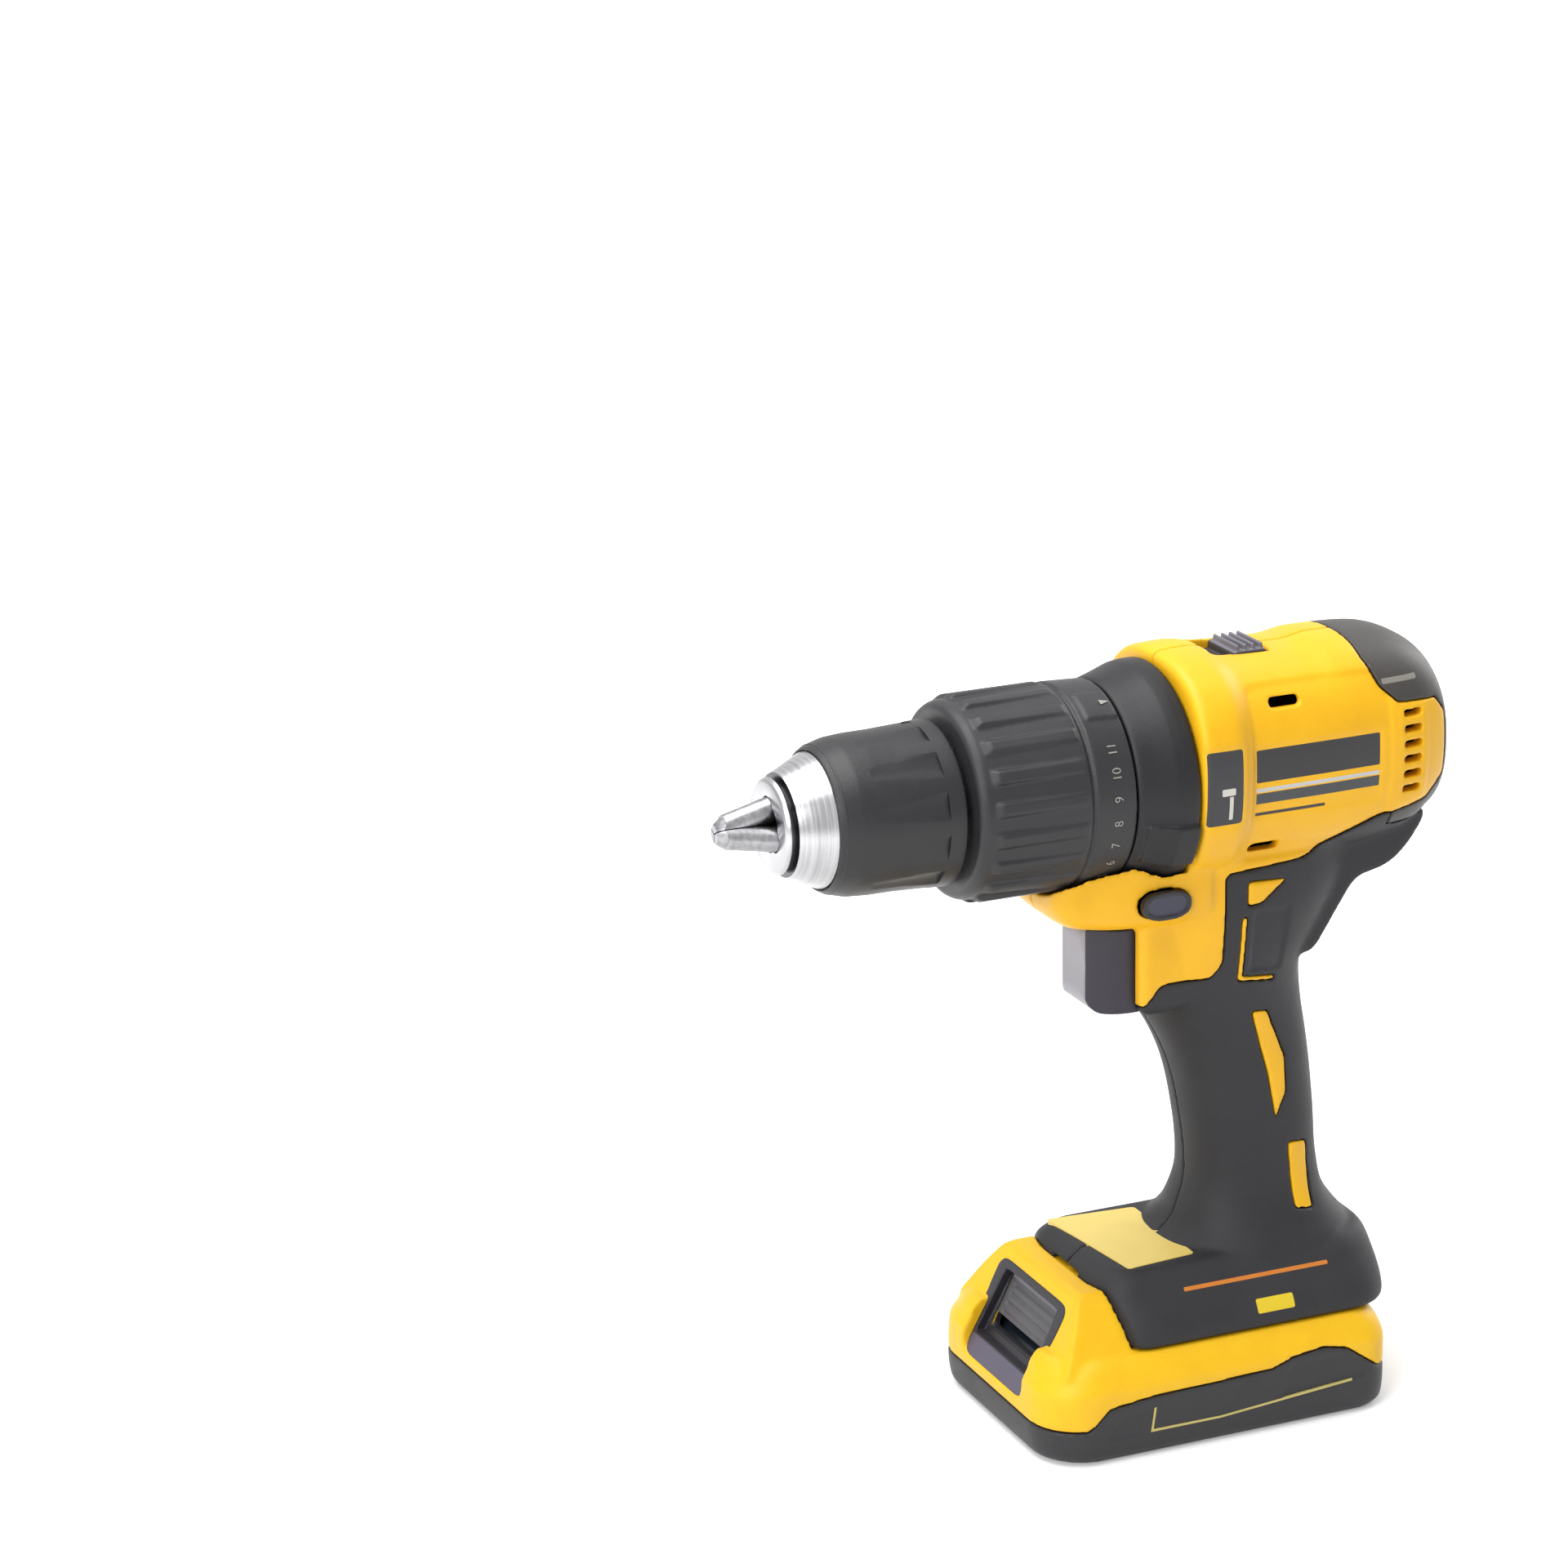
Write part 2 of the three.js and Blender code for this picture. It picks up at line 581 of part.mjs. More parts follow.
/** Boxy cheeks of the trigger housing, on either side of the trigger. */
function cheeks(inset) {
  const w = CHEEK_HALF_WIDTH;
  const stations = [
    [-34, CHEEK_FRONT, 14, w, 2.4, 3],
    [TRIGGER_BOTTOM + 9 + inset / 2, CHEEK_FRONT, 12, w, 2.4, 3],
    [TRIGGER_BOTTOM + 2.5 + inset, CHEEK_FRONT + 0.2, 6, w - 0.5, 2.4, 3],
    [TRIGGER_BOTTOM - 0.5 + inset, CHEEK_FRONT + 1.8, 1, w - 2, 2.4, 3],
  ];
  return loftPlan(stations.map(([z, front, rear, halfWidth, r0, r1]) => [
    z,
    front + inset,
    rear - inset,
    halfWidth - inset,
    r0,
    r1,
  ]));
}

/** Shelf at the back of the handle, over the web between thumb and finger. */
function shelf(inset) {
  const rear = BARREL_LENGTH - 4.1;
  const outline = [
    [rear, -19], [rear - 6, -27.5], [rear - 11.5, -31.8], [rear - 21.5, -34], [50.5, -40], [42, -53],
    [30, -53], [30, -12], [rear - 4, -12],
  ];
  return sidePrism(offset(rounded(outline, 3), -inset), inset - 13.5, 13.5 - inset);
}

/** Foot that takes the battery, with a bowed front and flanks that lean outwards. */
function foot(inset) {
  const w = FOOT_HALF_WIDTH;
  const nose = FOOT_FRONT - FOOT_NOSE;
  const stations = [
    [FOOT_TOP - inset, FOOT_FRONT + 2.4, FOOT_REAR - 2.4, w - 12, 7, 14],
    [FOOT_TOP - 1 - inset, FOOT_FRONT + 1, FOOT_REAR - 1.2, w - 10.6, 7, 14],
    [FOOT_TOP - 6 - inset, nose + 0.8, FOOT_REAR - 0.3, w - 6, 10, 14],
    [FOOT_TOP - 15, nose, FOOT_REAR, w - 0.3, 12, 14],
    [FOOT_BOTTOM, nose, FOOT_REAR, w, 12, 14],
  ];
  const bow = rodZ(FOOT_BOW_RADIUS - inset, -FAR, 0, nose + FOOT_BOW_RADIUS, 0, BOW_SIDES);
  return loftPlan(stations.map(([z, front, rear, halfWidth, r0, r1]) => [
    z,
    front + inset,
    rear - inset,
    halfWidth - inset,
    r0 - inset / 2,
    r1 - inset / 2,
  ])).intersect(bow);
}

function outside(inset) {
  return union(barrel(inset), chin(inset), handle(inset), cheeks(inset), shelf(inset), foot(inset));
}

// Side outline of the rear cap, as distances in front of its rear end and heights.
const CAP_ZONE = [
  [27.1, FAR], [27.5, 28], [25.1, 21.5], [20.6, 17.2], [8.1, 16.4], [4.5, 12], [4.5, -5], [10.1, -11],
  [21.1, -13.4], [21.1, -17.2], [-FAR, -17.2], [-FAR, FAR],
].map(([back, z]) => [BARREL_LENGTH - back, z]);

// Side outline of the overmould, from the shelf at its rear along its upper edge.
const GRIP_ZONE = rounded([
  [BARREL_LENGTH - 20.7, -13], [BARREL_LENGTH - 25.1, -13.4], [45, -18], [35, -23.2], [11.5, -24.6],
  [11.8, -49.5], [8.6, -53.7], [-5.5, -53.8], [-10, -60], [-FAR, -61], [-FAR, -FAR], [FAR, -FAR],
  [FAR, -17.6], [BARREL_LENGTH - 20.7, -17.6],
], 2, 1);

// Bright inlays that show through the overmould, flush with it.
const INLAY_ZONES = [
  [[18, -27.5], [29, -28], [22, -33.5], [18, -34]],
  [[16.5, -37], [17.6, -37], [17.6, -54.4], [28, -55.9], [28, -57], [16.5, -55.3]],
  [[22, -65.5], [26.5, -66], [32.5, -80], [33, -90], [30, -97], [27.5, -84]],
  [[34, FOOT_TOP + 26], [40, FOOT_TOP + 25], [40.5, FOOT_TOP + 7], [35, FOOT_TOP + 8]],
];

/** Openings that pass through both the housing and its overmould. */
function openings() {
  const collars = turned([
    [-FAR, 0], [-FAR, COLLAR_RADIUS + COLLAR_RIB_DEPTH + 2 * GAP],
    [COLLAR_BAND_FRONT, COLLAR_RADIUS + COLLAR_RIB_DEPTH + 2 * GAP],
    [COLLAR_BAND_FRONT + 2, COLLAR_RADIUS + 2 * GAP], [MODE_FRONT + 2, COLLAR_RADIUS + 2 * GAP],
    [MODE_FRONT + 5, MODE_RADIUS - 1.2], [MODE_FRONT + 9.5, MODE_RADIUS + 2 * GAP], [0, MODE_RADIUS + 2 * GAP],
    [0, 0],
  ]);
  const gearDrum = rodX(CASE_RADIUS + GAP, -1, CASE_REAR + GAP);
  const triggerSlot = box(-FAR, SWITCH_FRONT + 1.5, -TRIGGER_HALF_WIDTH - GAP, TRIGGER_HALF_WIDTH + GAP,
    TRIGGER_BOTTOM - 2 * GAP, TRIGGER_TOP + GAP);
  const selectorSlot = box(SELECTOR_X - SHIFT_TRAVEL - GAP, SELECTOR_X + SELECTOR_LENGTH + GAP,
    -SELECTOR_HALF_WIDTH - GAP, SELECTOR_HALF_WIDTH + GAP, CASE_RADIUS, FAR);
  const holes = sidePrism(directionOutline(GAP), -FAR, FAR).add(vents()).add(slots());
  const lens = rodZ(WORKLIGHT_RADIUS + GAP, -CHIN_BOTTOM - 10, -CHIN_BOTTOM + 6, WORKLIGHT_X);
  return union(collars, gearDrum, triggerSlot, selectorSlot, holes, lens, batteryPocket(GAP));
}

function directionOutline(margin) {
  return superellipse(DIRECTION_HALF_LENGTH + margin, DIRECTION_HALF_HEIGHT + margin, 2.4, 16)
    .map(([x, z]) => [x + DIRECTION_X, z + DIRECTION_Z]);
}

/** A slot through each flank of the barrel, between two stations and two heights. */
function flankSlots(x0, x1, z, halfHeight) {
  const inner = BARREL_HALF_WIDTH - 12;
  return box(x0, x1, -FAR, -inner, z - halfHeight, z + halfHeight)
    .add(box(x0, x1, inner, FAR, z - halfHeight, z + halfHeight));
}

/** Cooling slots beside the fan. */
function vents() {
  const heights = Array.from({ length: 6 }, (_, i) => 14 - 4.1 * i);
  return union(...heights.map((z) => flankSlots(BARREL_LENGTH - 19.5, BARREL_LENGTH - 13.7, z, 1)));
}

/** Small cooling slots over and under the panel on each flank. */
function slots() {
  return flankSlots(22.3, 31.3, 21, 1.3).add(flankSlots(17, 26, -17.6, 1.3));
}

/** Front outline of the battery tower, a head on a narrower neck. */
function towerOutline(margin) {
  return [
    [-TOWER_NECK_HALF_WIDTH - margin, BATTERY_DECK - 3],
    [TOWER_NECK_HALF_WIDTH + margin, BATTERY_DECK - 3],
    [TOWER_NECK_HALF_WIDTH + margin, TOWER_HEAD_BOTTOM - margin],
    [TOWER_HALF_WIDTH + margin, TOWER_HEAD_BOTTOM - margin],
    [TOWER_HALF_WIDTH + margin, TOWER_HEAD_BOTTOM + 2],
    [TOWER_TOP_HALF_WIDTH + margin, TOWER_TOP + margin],
    [-TOWER_TOP_HALF_WIDTH - margin, TOWER_TOP + margin],
    [-TOWER_HALF_WIDTH - margin, TOWER_HEAD_BOTTOM + 2],
    [-TOWER_HALF_WIDTH - margin, TOWER_HEAD_BOTTOM - margin],
    [-TOWER_NECK_HALF_WIDTH - margin, TOWER_HEAD_BOTTOM - margin],
  ];
}

/** Room for the battery tower, the latch channel over it and the way of the wires. */
function batteryPocket(margin) {
  const channel = box(-FAR, LATCH_X + LATCH_LENGTH + GAP, -LATCH_HALF_WIDTH - GAP, LATCH_HALF_WIDTH + GAP,
    TOWER_TOP - 1, LATCH_TOP + GAP);
  const wires = box(POCKET_REAR - 12, POCKET_REAR - 4, -5, 5, TOWER_TOP - 1, FOOT_TOP + 11);
  return union(frontPrism(towerOutline(margin), -FAR, POCKET_REAR), channel, wires);
}

// ---------------------------------------------------------------------------------------------
// Clamshell screws

function screwBosses(half) {
  return union(...SCREWS.map(({ x, z, seat }) => (half === 'left'
    ? rodY(BOSS_RADIUS, -FAR, -SPLIT_GAP / 2, x, z, 10)
    : rodY(BOSS_RADIUS, SPLIT_GAP / 2, seat + 9, x, z, 10))));
}

function screwHoles() {
  return union(...SCREWS.map(({ x, z, seat }) =>
    rodY(SCREW_RADIUS + GAP, -SCREW_REACH - GAP, seat + 1, x, z, 8)
      .add(rodY(SCREW_HEAD_RADIUS + GAP, seat, FAR, x, z, 12))));
}

SCREWS.forEach(({ name, x, z, seat }) => {
  const head = rodY(SCREW_HEAD_RADIUS, seat + GAP, seat + GAP + SCREW_HEAD_HEIGHT, x, z, 12);
  const shank = rodY(SCREW_RADIUS, -SCREW_REACH, seat + GAP + 0.5, x, z, 8);
  const drive = rodY(SCREW_DRIVE_RADIUS, seat + GAP + 1, seat + 10, x, z, 6);
  add(name, head.add(shank).subtract(drive), 'darkSteel');
});

// ---------------------------------------------------------------------------------------------
// Clamshell, overmould and rear cap

const openingsBody = openings();
const capZone = sidePrism(CAP_ZONE, -FAR, FAR);
const capZoneWide = sidePrism(offset(CAP_ZONE, GAP), -FAR, FAR);
const gripZone = sidePrism(GRIP_ZONE, -FAR, FAR);
const gripZoneWide = sidePrism(offset(GRIP_ZONE, GAP), -FAR, FAR);
const inlays = union(...INLAY_ZONES.map((zone) => sidePrism(zone, -FAR, FAR)));
const inlaysWide = union(...INLAY_ZONES.map((zone) => sidePrism(offset(zone, GAP), -FAR, FAR)));
const surface = outside(0);
const underSkin = outside(SKIN + GAP);

/** Room for the motor behind the gear case, with the ribs that carry the stator left standing. */
function motorRoom() {
  const side = BARREL_HALF_WIDTH - WAIST_STEP - 1 - WALL;
  const top = BARREL_TOP - RECESS_STEP - WALL;
  const bottom = SKIN + GAP + WALL - BARREL_BOTTOM;
  const room = loftX([
    [WALL, side, top, bottom],
    [FAN_X - 1, side, top, bottom],
    [BARREL_LENGTH + 1, side - 8.5, top - 16, bottom + 12],
  ], 3, 12);
  const caseRib = ringX(FAR, CASE_RADIUS + GAP, CASE_REAR - 3, CASE_REAR);
  const statorRibs = [STATOR_FRONT + 1.5, STATOR_FRONT + STATOR_LENGTH - 4].map((x) =>
    ringX(FAR, STATOR_RADIUS + GAP, x, x + WALL));
  return room.subtract(union(caseRib, ...statorRibs));
}

/** Rooms over the gear case for the fork and for the plate of the speed selector. */
function shiftRoom() {
  const fork = rodX(FORK_RADIUS + FORK_THICKNESS + GAP, FORK_X - SHIFT_TRAVEL - 1, FORK_X + FORK_WIDTH + 1)
    .intersect(box(-FAR, FAR, -FAR, FAR, -FORK_PIN, FAR));
  const plate = box(SELECTOR_PLATE_X - SHIFT_TRAVEL - GAP, SELECTOR_PLATE_X + SELECTOR_PLATE_LENGTH + GAP,
    -SELECTOR_PLATE_HALF_WIDTH - GAP, SELECTOR_PLATE_HALF_WIDTH + GAP, CASE_RADIUS, SELECTOR_PLATE_TOP + GAP);
  return fork.add(plate);
}

/** Rooms for the switch behind the trigger and for the electronics in the handle. */
function handleRoom() {
  const switchBottom = SWITCH_TOP - SWITCH_HEIGHT;
  const switchRoom = sidePrism([
    [-8.5, -18], [30, -18], [30, switchBottom - 1], [4, switchBottom - 3], [-5, switchBottom + 1.5],
    [-8.5, switchBottom + 9],
  ], -SWITCH_HALF_WIDTH - 2 * GAP, SWITCH_HALF_WIDTH + 2 * GAP);
  const side = HANDLE_HALF_WIDTH - SKIN - GAP - WALL;
  const grip = sidePrism([
    [-4, -18], [50, -18], [44, -40], [37, -53], [37, -62], [41, FOOT_TOP + 33], [42.8, FOOT_TOP + 13],
    [43, FOOT_TOP + 5], [19.5, FOOT_TOP + 5], [18.2, FOOT_TOP + 19], [17, FOOT_TOP + 33], [13.5, -84],
    [8, -70], [0, -57],
  ], -side, side);
  return switchRoom.add(grip);
}

/** Hollow of the clamshell. */
function hollow() {
  return union(motorRoom(), shiftRoom(), handleRoom());
}

const inner = hollow();
const shell = surface.subtract(gripZoneWide.subtract(inlays))
  .add(underSkin)
  .subtract(inner)
  .subtract(openingsBody)
  .subtract(capZoneWide);

function half(body, side) {
  return side === 'left'
    ? body.intersect(box(-FAR, FAR, -FAR, -SPLIT_GAP / 2, -FAR, FAR))
    : body.intersect(box(-FAR, FAR, SPLIT_GAP / 2, FAR, -FAR, FAR));
}

/** The largest separate solid of a body, without the loose slivers that the cuts leave. */
function mainPiece(body) {
  const pieces = body.decompose();
  return pieces.reduce((best, piece) => (piece.volume() > best.volume() ? piece : best));
}

const bossRoom = underSkin.add(surface.subtract(gripZoneWide)).subtract(capZoneWide);
['left', 'right'].forEach((side) => {
  const bosses = screwBosses(side).intersect(bossRoom).intersect(inner.add(shell));
  const body = shell.add(bosses).subtract(screwHoles()).subtract(rodX(CASE_RADIUS + GAP, -1, CASE_REAR));
  add(`housing_${side}`, mainPiece(half(body, side)), 'housing');
});

const skin = surface.subtract(outside(SKIN))
  .intersect(gripZone)
  .subtract(inlaysWide)
  .subtract(openingsBody)
  .subtract(capZoneWide);
['left', 'right'].forEach((side) => {
  add(`grip_${side}`, mainPiece(half(skin.subtract(screwHoles()), side)), 'rubber');
});

/** Rear cap, with the socket of the rear motor bearing. */
function rearCap() {
  const cup = surface.intersect(capZone).subtract(barrel(WALL)).subtract(gripZoneWide);
  const socketRadius = REAR_BEARING_RADIUS + GAP;
  const socket = ringX(socketRadius + 2, socketRadius, REAR_BEARING_X - 0.5, BARREL_LENGTH - 1, 16)
    .intersect(barrel(0.5));
  const floor = rodX(socketRadius + 2, REAR_BEARING_X + REAR_BEARING_WIDTH + GAP, BARREL_LENGTH, 0, 0, 16)
    .intersect(barrel(0.5));
  return cup.add(socket).add(floor).subtract(openingsBody);
}
add('rear_cap', mainPiece(rearCap()), 'plastic');

// ---------------------------------------------------------------------------------------------
// Gear case and the clutch that it carries

function gearCase() {
  const bore = CASE_RADIUS - CASE_WALL;
  const noseBore = NOSE_RADIUS - NOSE_WALL;
  const body = turned([
    [NOSE_FRONT, noseBore], [NOSE_FRONT, NOSE_RADIUS], [CASE_FRONT, NOSE_RADIUS], [CASE_FRONT, CASE_RADIUS],
    [CASE_REAR, CASE_RADIUS], [CASE_REAR, bore], [CASE_FRONT + 3, bore], [CASE_FRONT + 3, noseBore],
  ]);
  const forkSlot = box(FORK_X - SHIFT_TRAVEL - GAP, FORK_X + FORK_WIDTH + GAP, -FAR, FAR, -FORK_PIN / 2 - GAP,
    FORK_PIN / 2 + GAP);
  return body.subtract(forkSlot);
}

add('gear_case', gearCase(), 'plastic');

add('spindle_bearing', ringX(NOSE_RADIUS - NOSE_WALL - GAP, SPINDLE_RADIUS + GAP, SPINDLE_BEARING_X,
  SPINDLE_BEARING_X + SPINDLE_BEARING_WIDTH), 'steel');

add('clutch_washer', ringX(COLLAR_BORE - 2 * GAP, NOSE_RADIUS + GAP, CASE_FRONT - GAP - CLUTCH_WASHER,
  CASE_FRONT - GAP), 'steel');

function clutchNut() {
  const nut = ringX(COLLAR_BORE - GAP, NOSE_RADIUS + GAP, CLUTCH_NUT_X, CLUTCH_NUT_X + CLUTCH_NUT_WIDTH);
  const key = box(CLUTCH_NUT_X, CLUTCH_NUT_X + CLUTCH_NUT_WIDTH, COLLAR_BORE - 1.5, COLLAR_BORE + 1,
    -CLUTCH_KEY_HALF_WIDTH, CLUTCH_KEY_HALF_WIDTH);
  return union(nut, ...around(key, CLUTCH_KEYS));
}
add('clutch_nut', clutchNut(), 'darkSteel');

/** A point on the clutch spring, from its first turn at t = 0 to its last at t = 1. */
class SpringCurve extends THREE.Curve {
  constructor(from, to) {
    super();
    this.from = from;
    this.to = to;
  }

  getPoint(t, target = new THREE.Vector3()) {
    const angle = t * SPRING_TURNS * 2 * Math.PI;
    return target.set(this.from + (this.to - this.from) * t, SPRING_RADIUS * Math.cos(angle),
      SPRING_RADIUS * Math.sin(angle));
  }
}

function clutchSpring() {
  const margin = SPRING_WIRE_RADIUS + GAP;
  const path = new SpringCurve(CLUTCH_NUT_X + CLUTCH_NUT_WIDTH + margin,
    CASE_FRONT - CLUTCH_WASHER - GAP - margin);
  const r = SPRING_WIRE_RADIUS;
  const section = shapeOf([[r, 0], [0, r], [-r, 0], [0, -r]]);
  return solid(new THREE.ExtrudeGeometry(section, { extrudePath: path, steps: 40, bevelEnabled: false }));
}
add('clutch_spring', clutchSpring(), 'darkSteel');

/** Round outline with ribs, each of the given shares of the pitch wide at its foot and at its crest. */
function ribOutline(low, high, count, footShare, crestShare) {
  const step = 2 * Math.PI / count;
  return Array.from({ length: count }, (_, i) => [
    [low, -footShare / 2], [high, -crestShare / 2], [high, crestShare / 2], [low, footShare / 2],
  ].map(([radius, share]) => {
    const angle = (i + 0.5 + share) * step;
    return [radius * Math.cos(angle), radius * Math.sin(angle)];
  })).flat();
}

/** Torque collar: ribbed grip, smooth number band, and a front plate round the nose tube. */
function torqueCollar() {
  const rear = CASE_RADIUS + GAP;
  const body = turned([
    [COLLAR_FRONT, NOSE_RADIUS + GAP], [COLLAR_FRONT, COLLAR_RADIUS - 2.8],
    [COLLAR_FRONT + 0.7, COLLAR_RADIUS - 1.8], [COLLAR_FRONT + 2.2, COLLAR_RADIUS - 1],
    [COLLAR_BAND_FRONT - 1.2, COLLAR_RADIUS],
    [COLLAR_BAND_FRONT - 0.6, COLLAR_RADIUS - 0.9], [COLLAR_BAND_FRONT, COLLAR_RADIUS - 0.9],
    [COLLAR_BAND_FRONT + 0.6, COLLAR_RADIUS], [COLLAR_REAR, COLLAR_RADIUS - 0.5],
    [COLLAR_REAR, rear], [CASE_FRONT - CLUTCH_WASHER - 2 * GAP, rear],
    [CASE_FRONT - CLUTCH_WASHER - 2 * GAP, COLLAR_BORE], [COLLAR_FRONT + 3, COLLAR_BORE],
    [COLLAR_FRONT + 3, NOSE_RADIUS + GAP],
  ]);
  const ribs = frontPrism(
    ribOutline(COLLAR_RADIUS - 1.2, COLLAR_RADIUS + COLLAR_RIB_DEPTH, COLLAR_RIBS, 0.56, 0.36),
    COLLAR_FRONT + 4,
    COLLAR_BAND_FRONT - 1.8,
  ).subtract(rodX(COLLAR_RADIUS - 2, -FAR, 0, 0, 0, 16));
  const keyway = box(CLUTCH_NUT_X - 1, CLUTCH_NUT_X + CLUTCH_NUT_WIDTH + CLUTCH_TRAVEL + 1, COLLAR_BORE - 2,
    COLLAR_BORE + 1 + GAP, -CLUTCH_KEY_HALF_WIDTH - GAP, CLUTCH_KEY_HALF_WIDTH + GAP);
  return body.add(ribs).subtract(union(...around(keyway, CLUTCH_KEYS)));
}
add('torque_collar', torqueCollar(), 'plastic');

/** Mode collar, with a raised lug for the fingers. */
function modeCollar() {
  const body = turned([
    [MODE_FRONT, CASE_RADIUS + GAP], [MODE_FRONT, MODE_RADIUS - 3.8], [MODE_FRONT + 1, MODE_RADIUS - 3.2],
    [MODE_FRONT + 5, MODE_RADIUS - 2], [MODE_FRONT + 10, MODE_RADIUS - 0.3], [MODE_REAR - 4, MODE_RADIUS],
    [MODE_REAR - 1, MODE_RADIUS], [MODE_REAR, MODE_RADIUS - 0.8], [MODE_REAR, MODE_RADIUS - 3],
    [MODE_FRONT + 7, MODE_RADIUS - 4], [MODE_FRONT + 5, CASE_RADIUS + GAP],
  ]);
  const lug = turned([
    [MODE_FRONT + 1.5, MODE_RADIUS - 4.4], [MODE_FRONT + 2.5, MODE_RADIUS - 1.6],
    [MODE_FRONT + 9.5, MODE_RADIUS + MODE_LUG_HEIGHT], [MODE_REAR - 0.6, MODE_RADIUS + MODE_LUG_HEIGHT],
    [MODE_REAR - 0.6, MODE_RADIUS - 2],
  ]);
  const sector = frontPrism([[0, 0], [-FAR, -0.72 * FAR], [-FAR, -0.22 * FAR]], MODE_FRONT, MODE_REAR);
  return body.add(lug.intersect(sector));
}
add('mode_collar', modeCollar(), 'plastic');

// ---------------------------------------------------------------------------------------------
// Planetary gears

/** Outline of a gear's teeth as [y, z] points; an inner gear has its teeth pointing inwards. */
function toothOutline(teeth, inward = false, backlash = TOOTH_BACKLASH) {
  const pitch = GEAR_MODULE * teeth / 2;
  const rootDepth = GEAR_MODULE * ROOT_DEPTH;
  const tipHeight = GEAR_MODULE * TIP_HEIGHT;
  const root = inward ? pitch + rootDepth : pitch - rootDepth;
  const tip = inward ? pitch - tipHeight : pitch + tipHeight;
  const halfThickness = GEAR_MODULE * Math.PI / 4 - backlash / 2;
  const slope = Math.tan(20 * Math.PI / 180);
  const step = 2 * Math.PI / teeth;
  return Array.from({ length: teeth }, (_, i) => {
    const atRoot = (halfThickness + rootDepth * slope) / root;
    const atTip = (halfThickness - tipHeight * slope) / tip;
    return [
      [root, i * step - atRoot], [tip, i * step - atTip], [tip, i * step + atTip], [root, i * step + atRoot],
    ];
  }).flat().map(([radius, angle]) => [radius * Math.cos(angle), radius * Math.sin(angle)]);
}

const CENTRE_DISTANCE = GEAR_MODULE * (SUN_TEETH + PLANET_TEETH) / 2;
const planetAngles = Array.from({ length: PLANETS_PER_STAGE }, (_, i) => i * 2 * Math.PI / PLANETS_PER_STAGE);

// With an odd planet a tooth points outwards where a gap faces the sun; with an even one, a gap does.
const PLANET_PHASE = PLANET_TEETH % 2 === 0 ? Math.PI / PLANET_TEETH : 0;
const RING_PHASE = PLANET_TEETH % 2 === 0 ? 0 : Math.PI / RING_TEETH;

function ringGear(x0, width) {
  const teeth = frontPrism(toothOutline(RING_TEETH, true), x0 - 1, x0 + width + 1);
  return rodX(RING_RADIUS, x0, x0 + width).subtract(spun(teeth, RING_PHASE));
}

function planet(x0, width, angle) {
  const body = spun(frontPrism(toothOutline(PLANET_TEETH), x0, x0 + width), PLANET_PHASE)
    .subtract(rodX(PLANET_PIN_RADIUS + GAP, x0 - 1, x0 + width + 1, 0, 0, 10));
  return spun(body.translate([0, CENTRE_DISTANCE, 0]), angle);
}

function carrierPins(x0, x1) {
  return union(...around(rodX(PLANET_PIN_RADIUS, x0, x1, CENTRE_DISTANCE, 0, 10), PLANETS_PER_STAGE));
}

const OUTPUT_CARRIER_X = OUTPUT_STAGE_X - GAP - CARRIER_PLATE;
const INPUT_CARRIER_X = INPUT_STAGE_X - GAP - CARRIER_PLATE;
const CARRIER_RADIUS = CENTRE_DISTANCE + PLANET_PIN_RADIUS + 2.2;

add('ring_gear_output', ringGear(OUTPUT_STAGE_X, OUTPUT_STAGE_WIDTH + 1), 'darkSteel');
planetAngles.forEach((angle, i) => {
  add(`planet_output_${i + 1}`, planet(OUTPUT_STAGE_X, OUTPUT_STAGE_WIDTH, angle), 'steel');
});
planetAngles.forEach((angle, i) => {
  add(`planet_input_${i + 1}`, planet(INPUT_STAGE_X, INPUT_STAGE_WIDTH, angle), 'steel');
});

/** Output carrier: a plate with three pins, keyed on the flats of the spindle. */
function outputCarrier() {
  const plate = rodX(CARRIER_RADIUS, OUTPUT_CARRIER_X, OUTPUT_CARRIER_X + CARRIER_PLATE);
  const bore = spindleEnd(OUTPUT_CARRIER_X - 1, OUTPUT_CARRIER_X + CARRIER_PLATE + 1, GAP);
  return plate.add(carrierPins(OUTPUT_CARRIER_X + 1, OUTPUT_STAGE_X + OUTPUT_STAGE_WIDTH)).subtract(bore);
}

/** The flatted end of the spindle. */
function spindleEnd(x0, x1, margin) {
  const r = SPINDLE_RADIUS + margin;
  return rodX(r, x0, x1, 0, 0, 20).intersect(box(x0, x1, -r, r, SPINDLE_FLAT - r, r - SPINDLE_FLAT));
}

function spindle() {
  const shaft = rodX(SPINDLE_RADIUS, SPINDLE_FRONT, OUTPUT_CARRIER_X - 4, 0, 0, 20);
  const shoulder = rodX(SPINDLE_RADIUS + 3.5, SPINDLE_BEARING_X + SPINDLE_BEARING_WIDTH + GAP,
    SPINDLE_BEARING_X + SPINDLE_BEARING_WIDTH + 4, 0, 0, 20);
  const end = spindleEnd(OUTPUT_CARRIER_X - 4.2, OUTPUT_STAGE_X - 1.4, 0);
  const tapped = rodX(CHUCK_SCREW_RADIUS + GAP, SPINDLE_FRONT - 1, SPINDLE_FRONT + 16, 0, 0, 16);
  return union(shaft, shoulder, end).subtract(tapped);
}

add('spindle', spindle(), 'steel');
add('output_carrier', outputCarrier(), 'darkSteel');

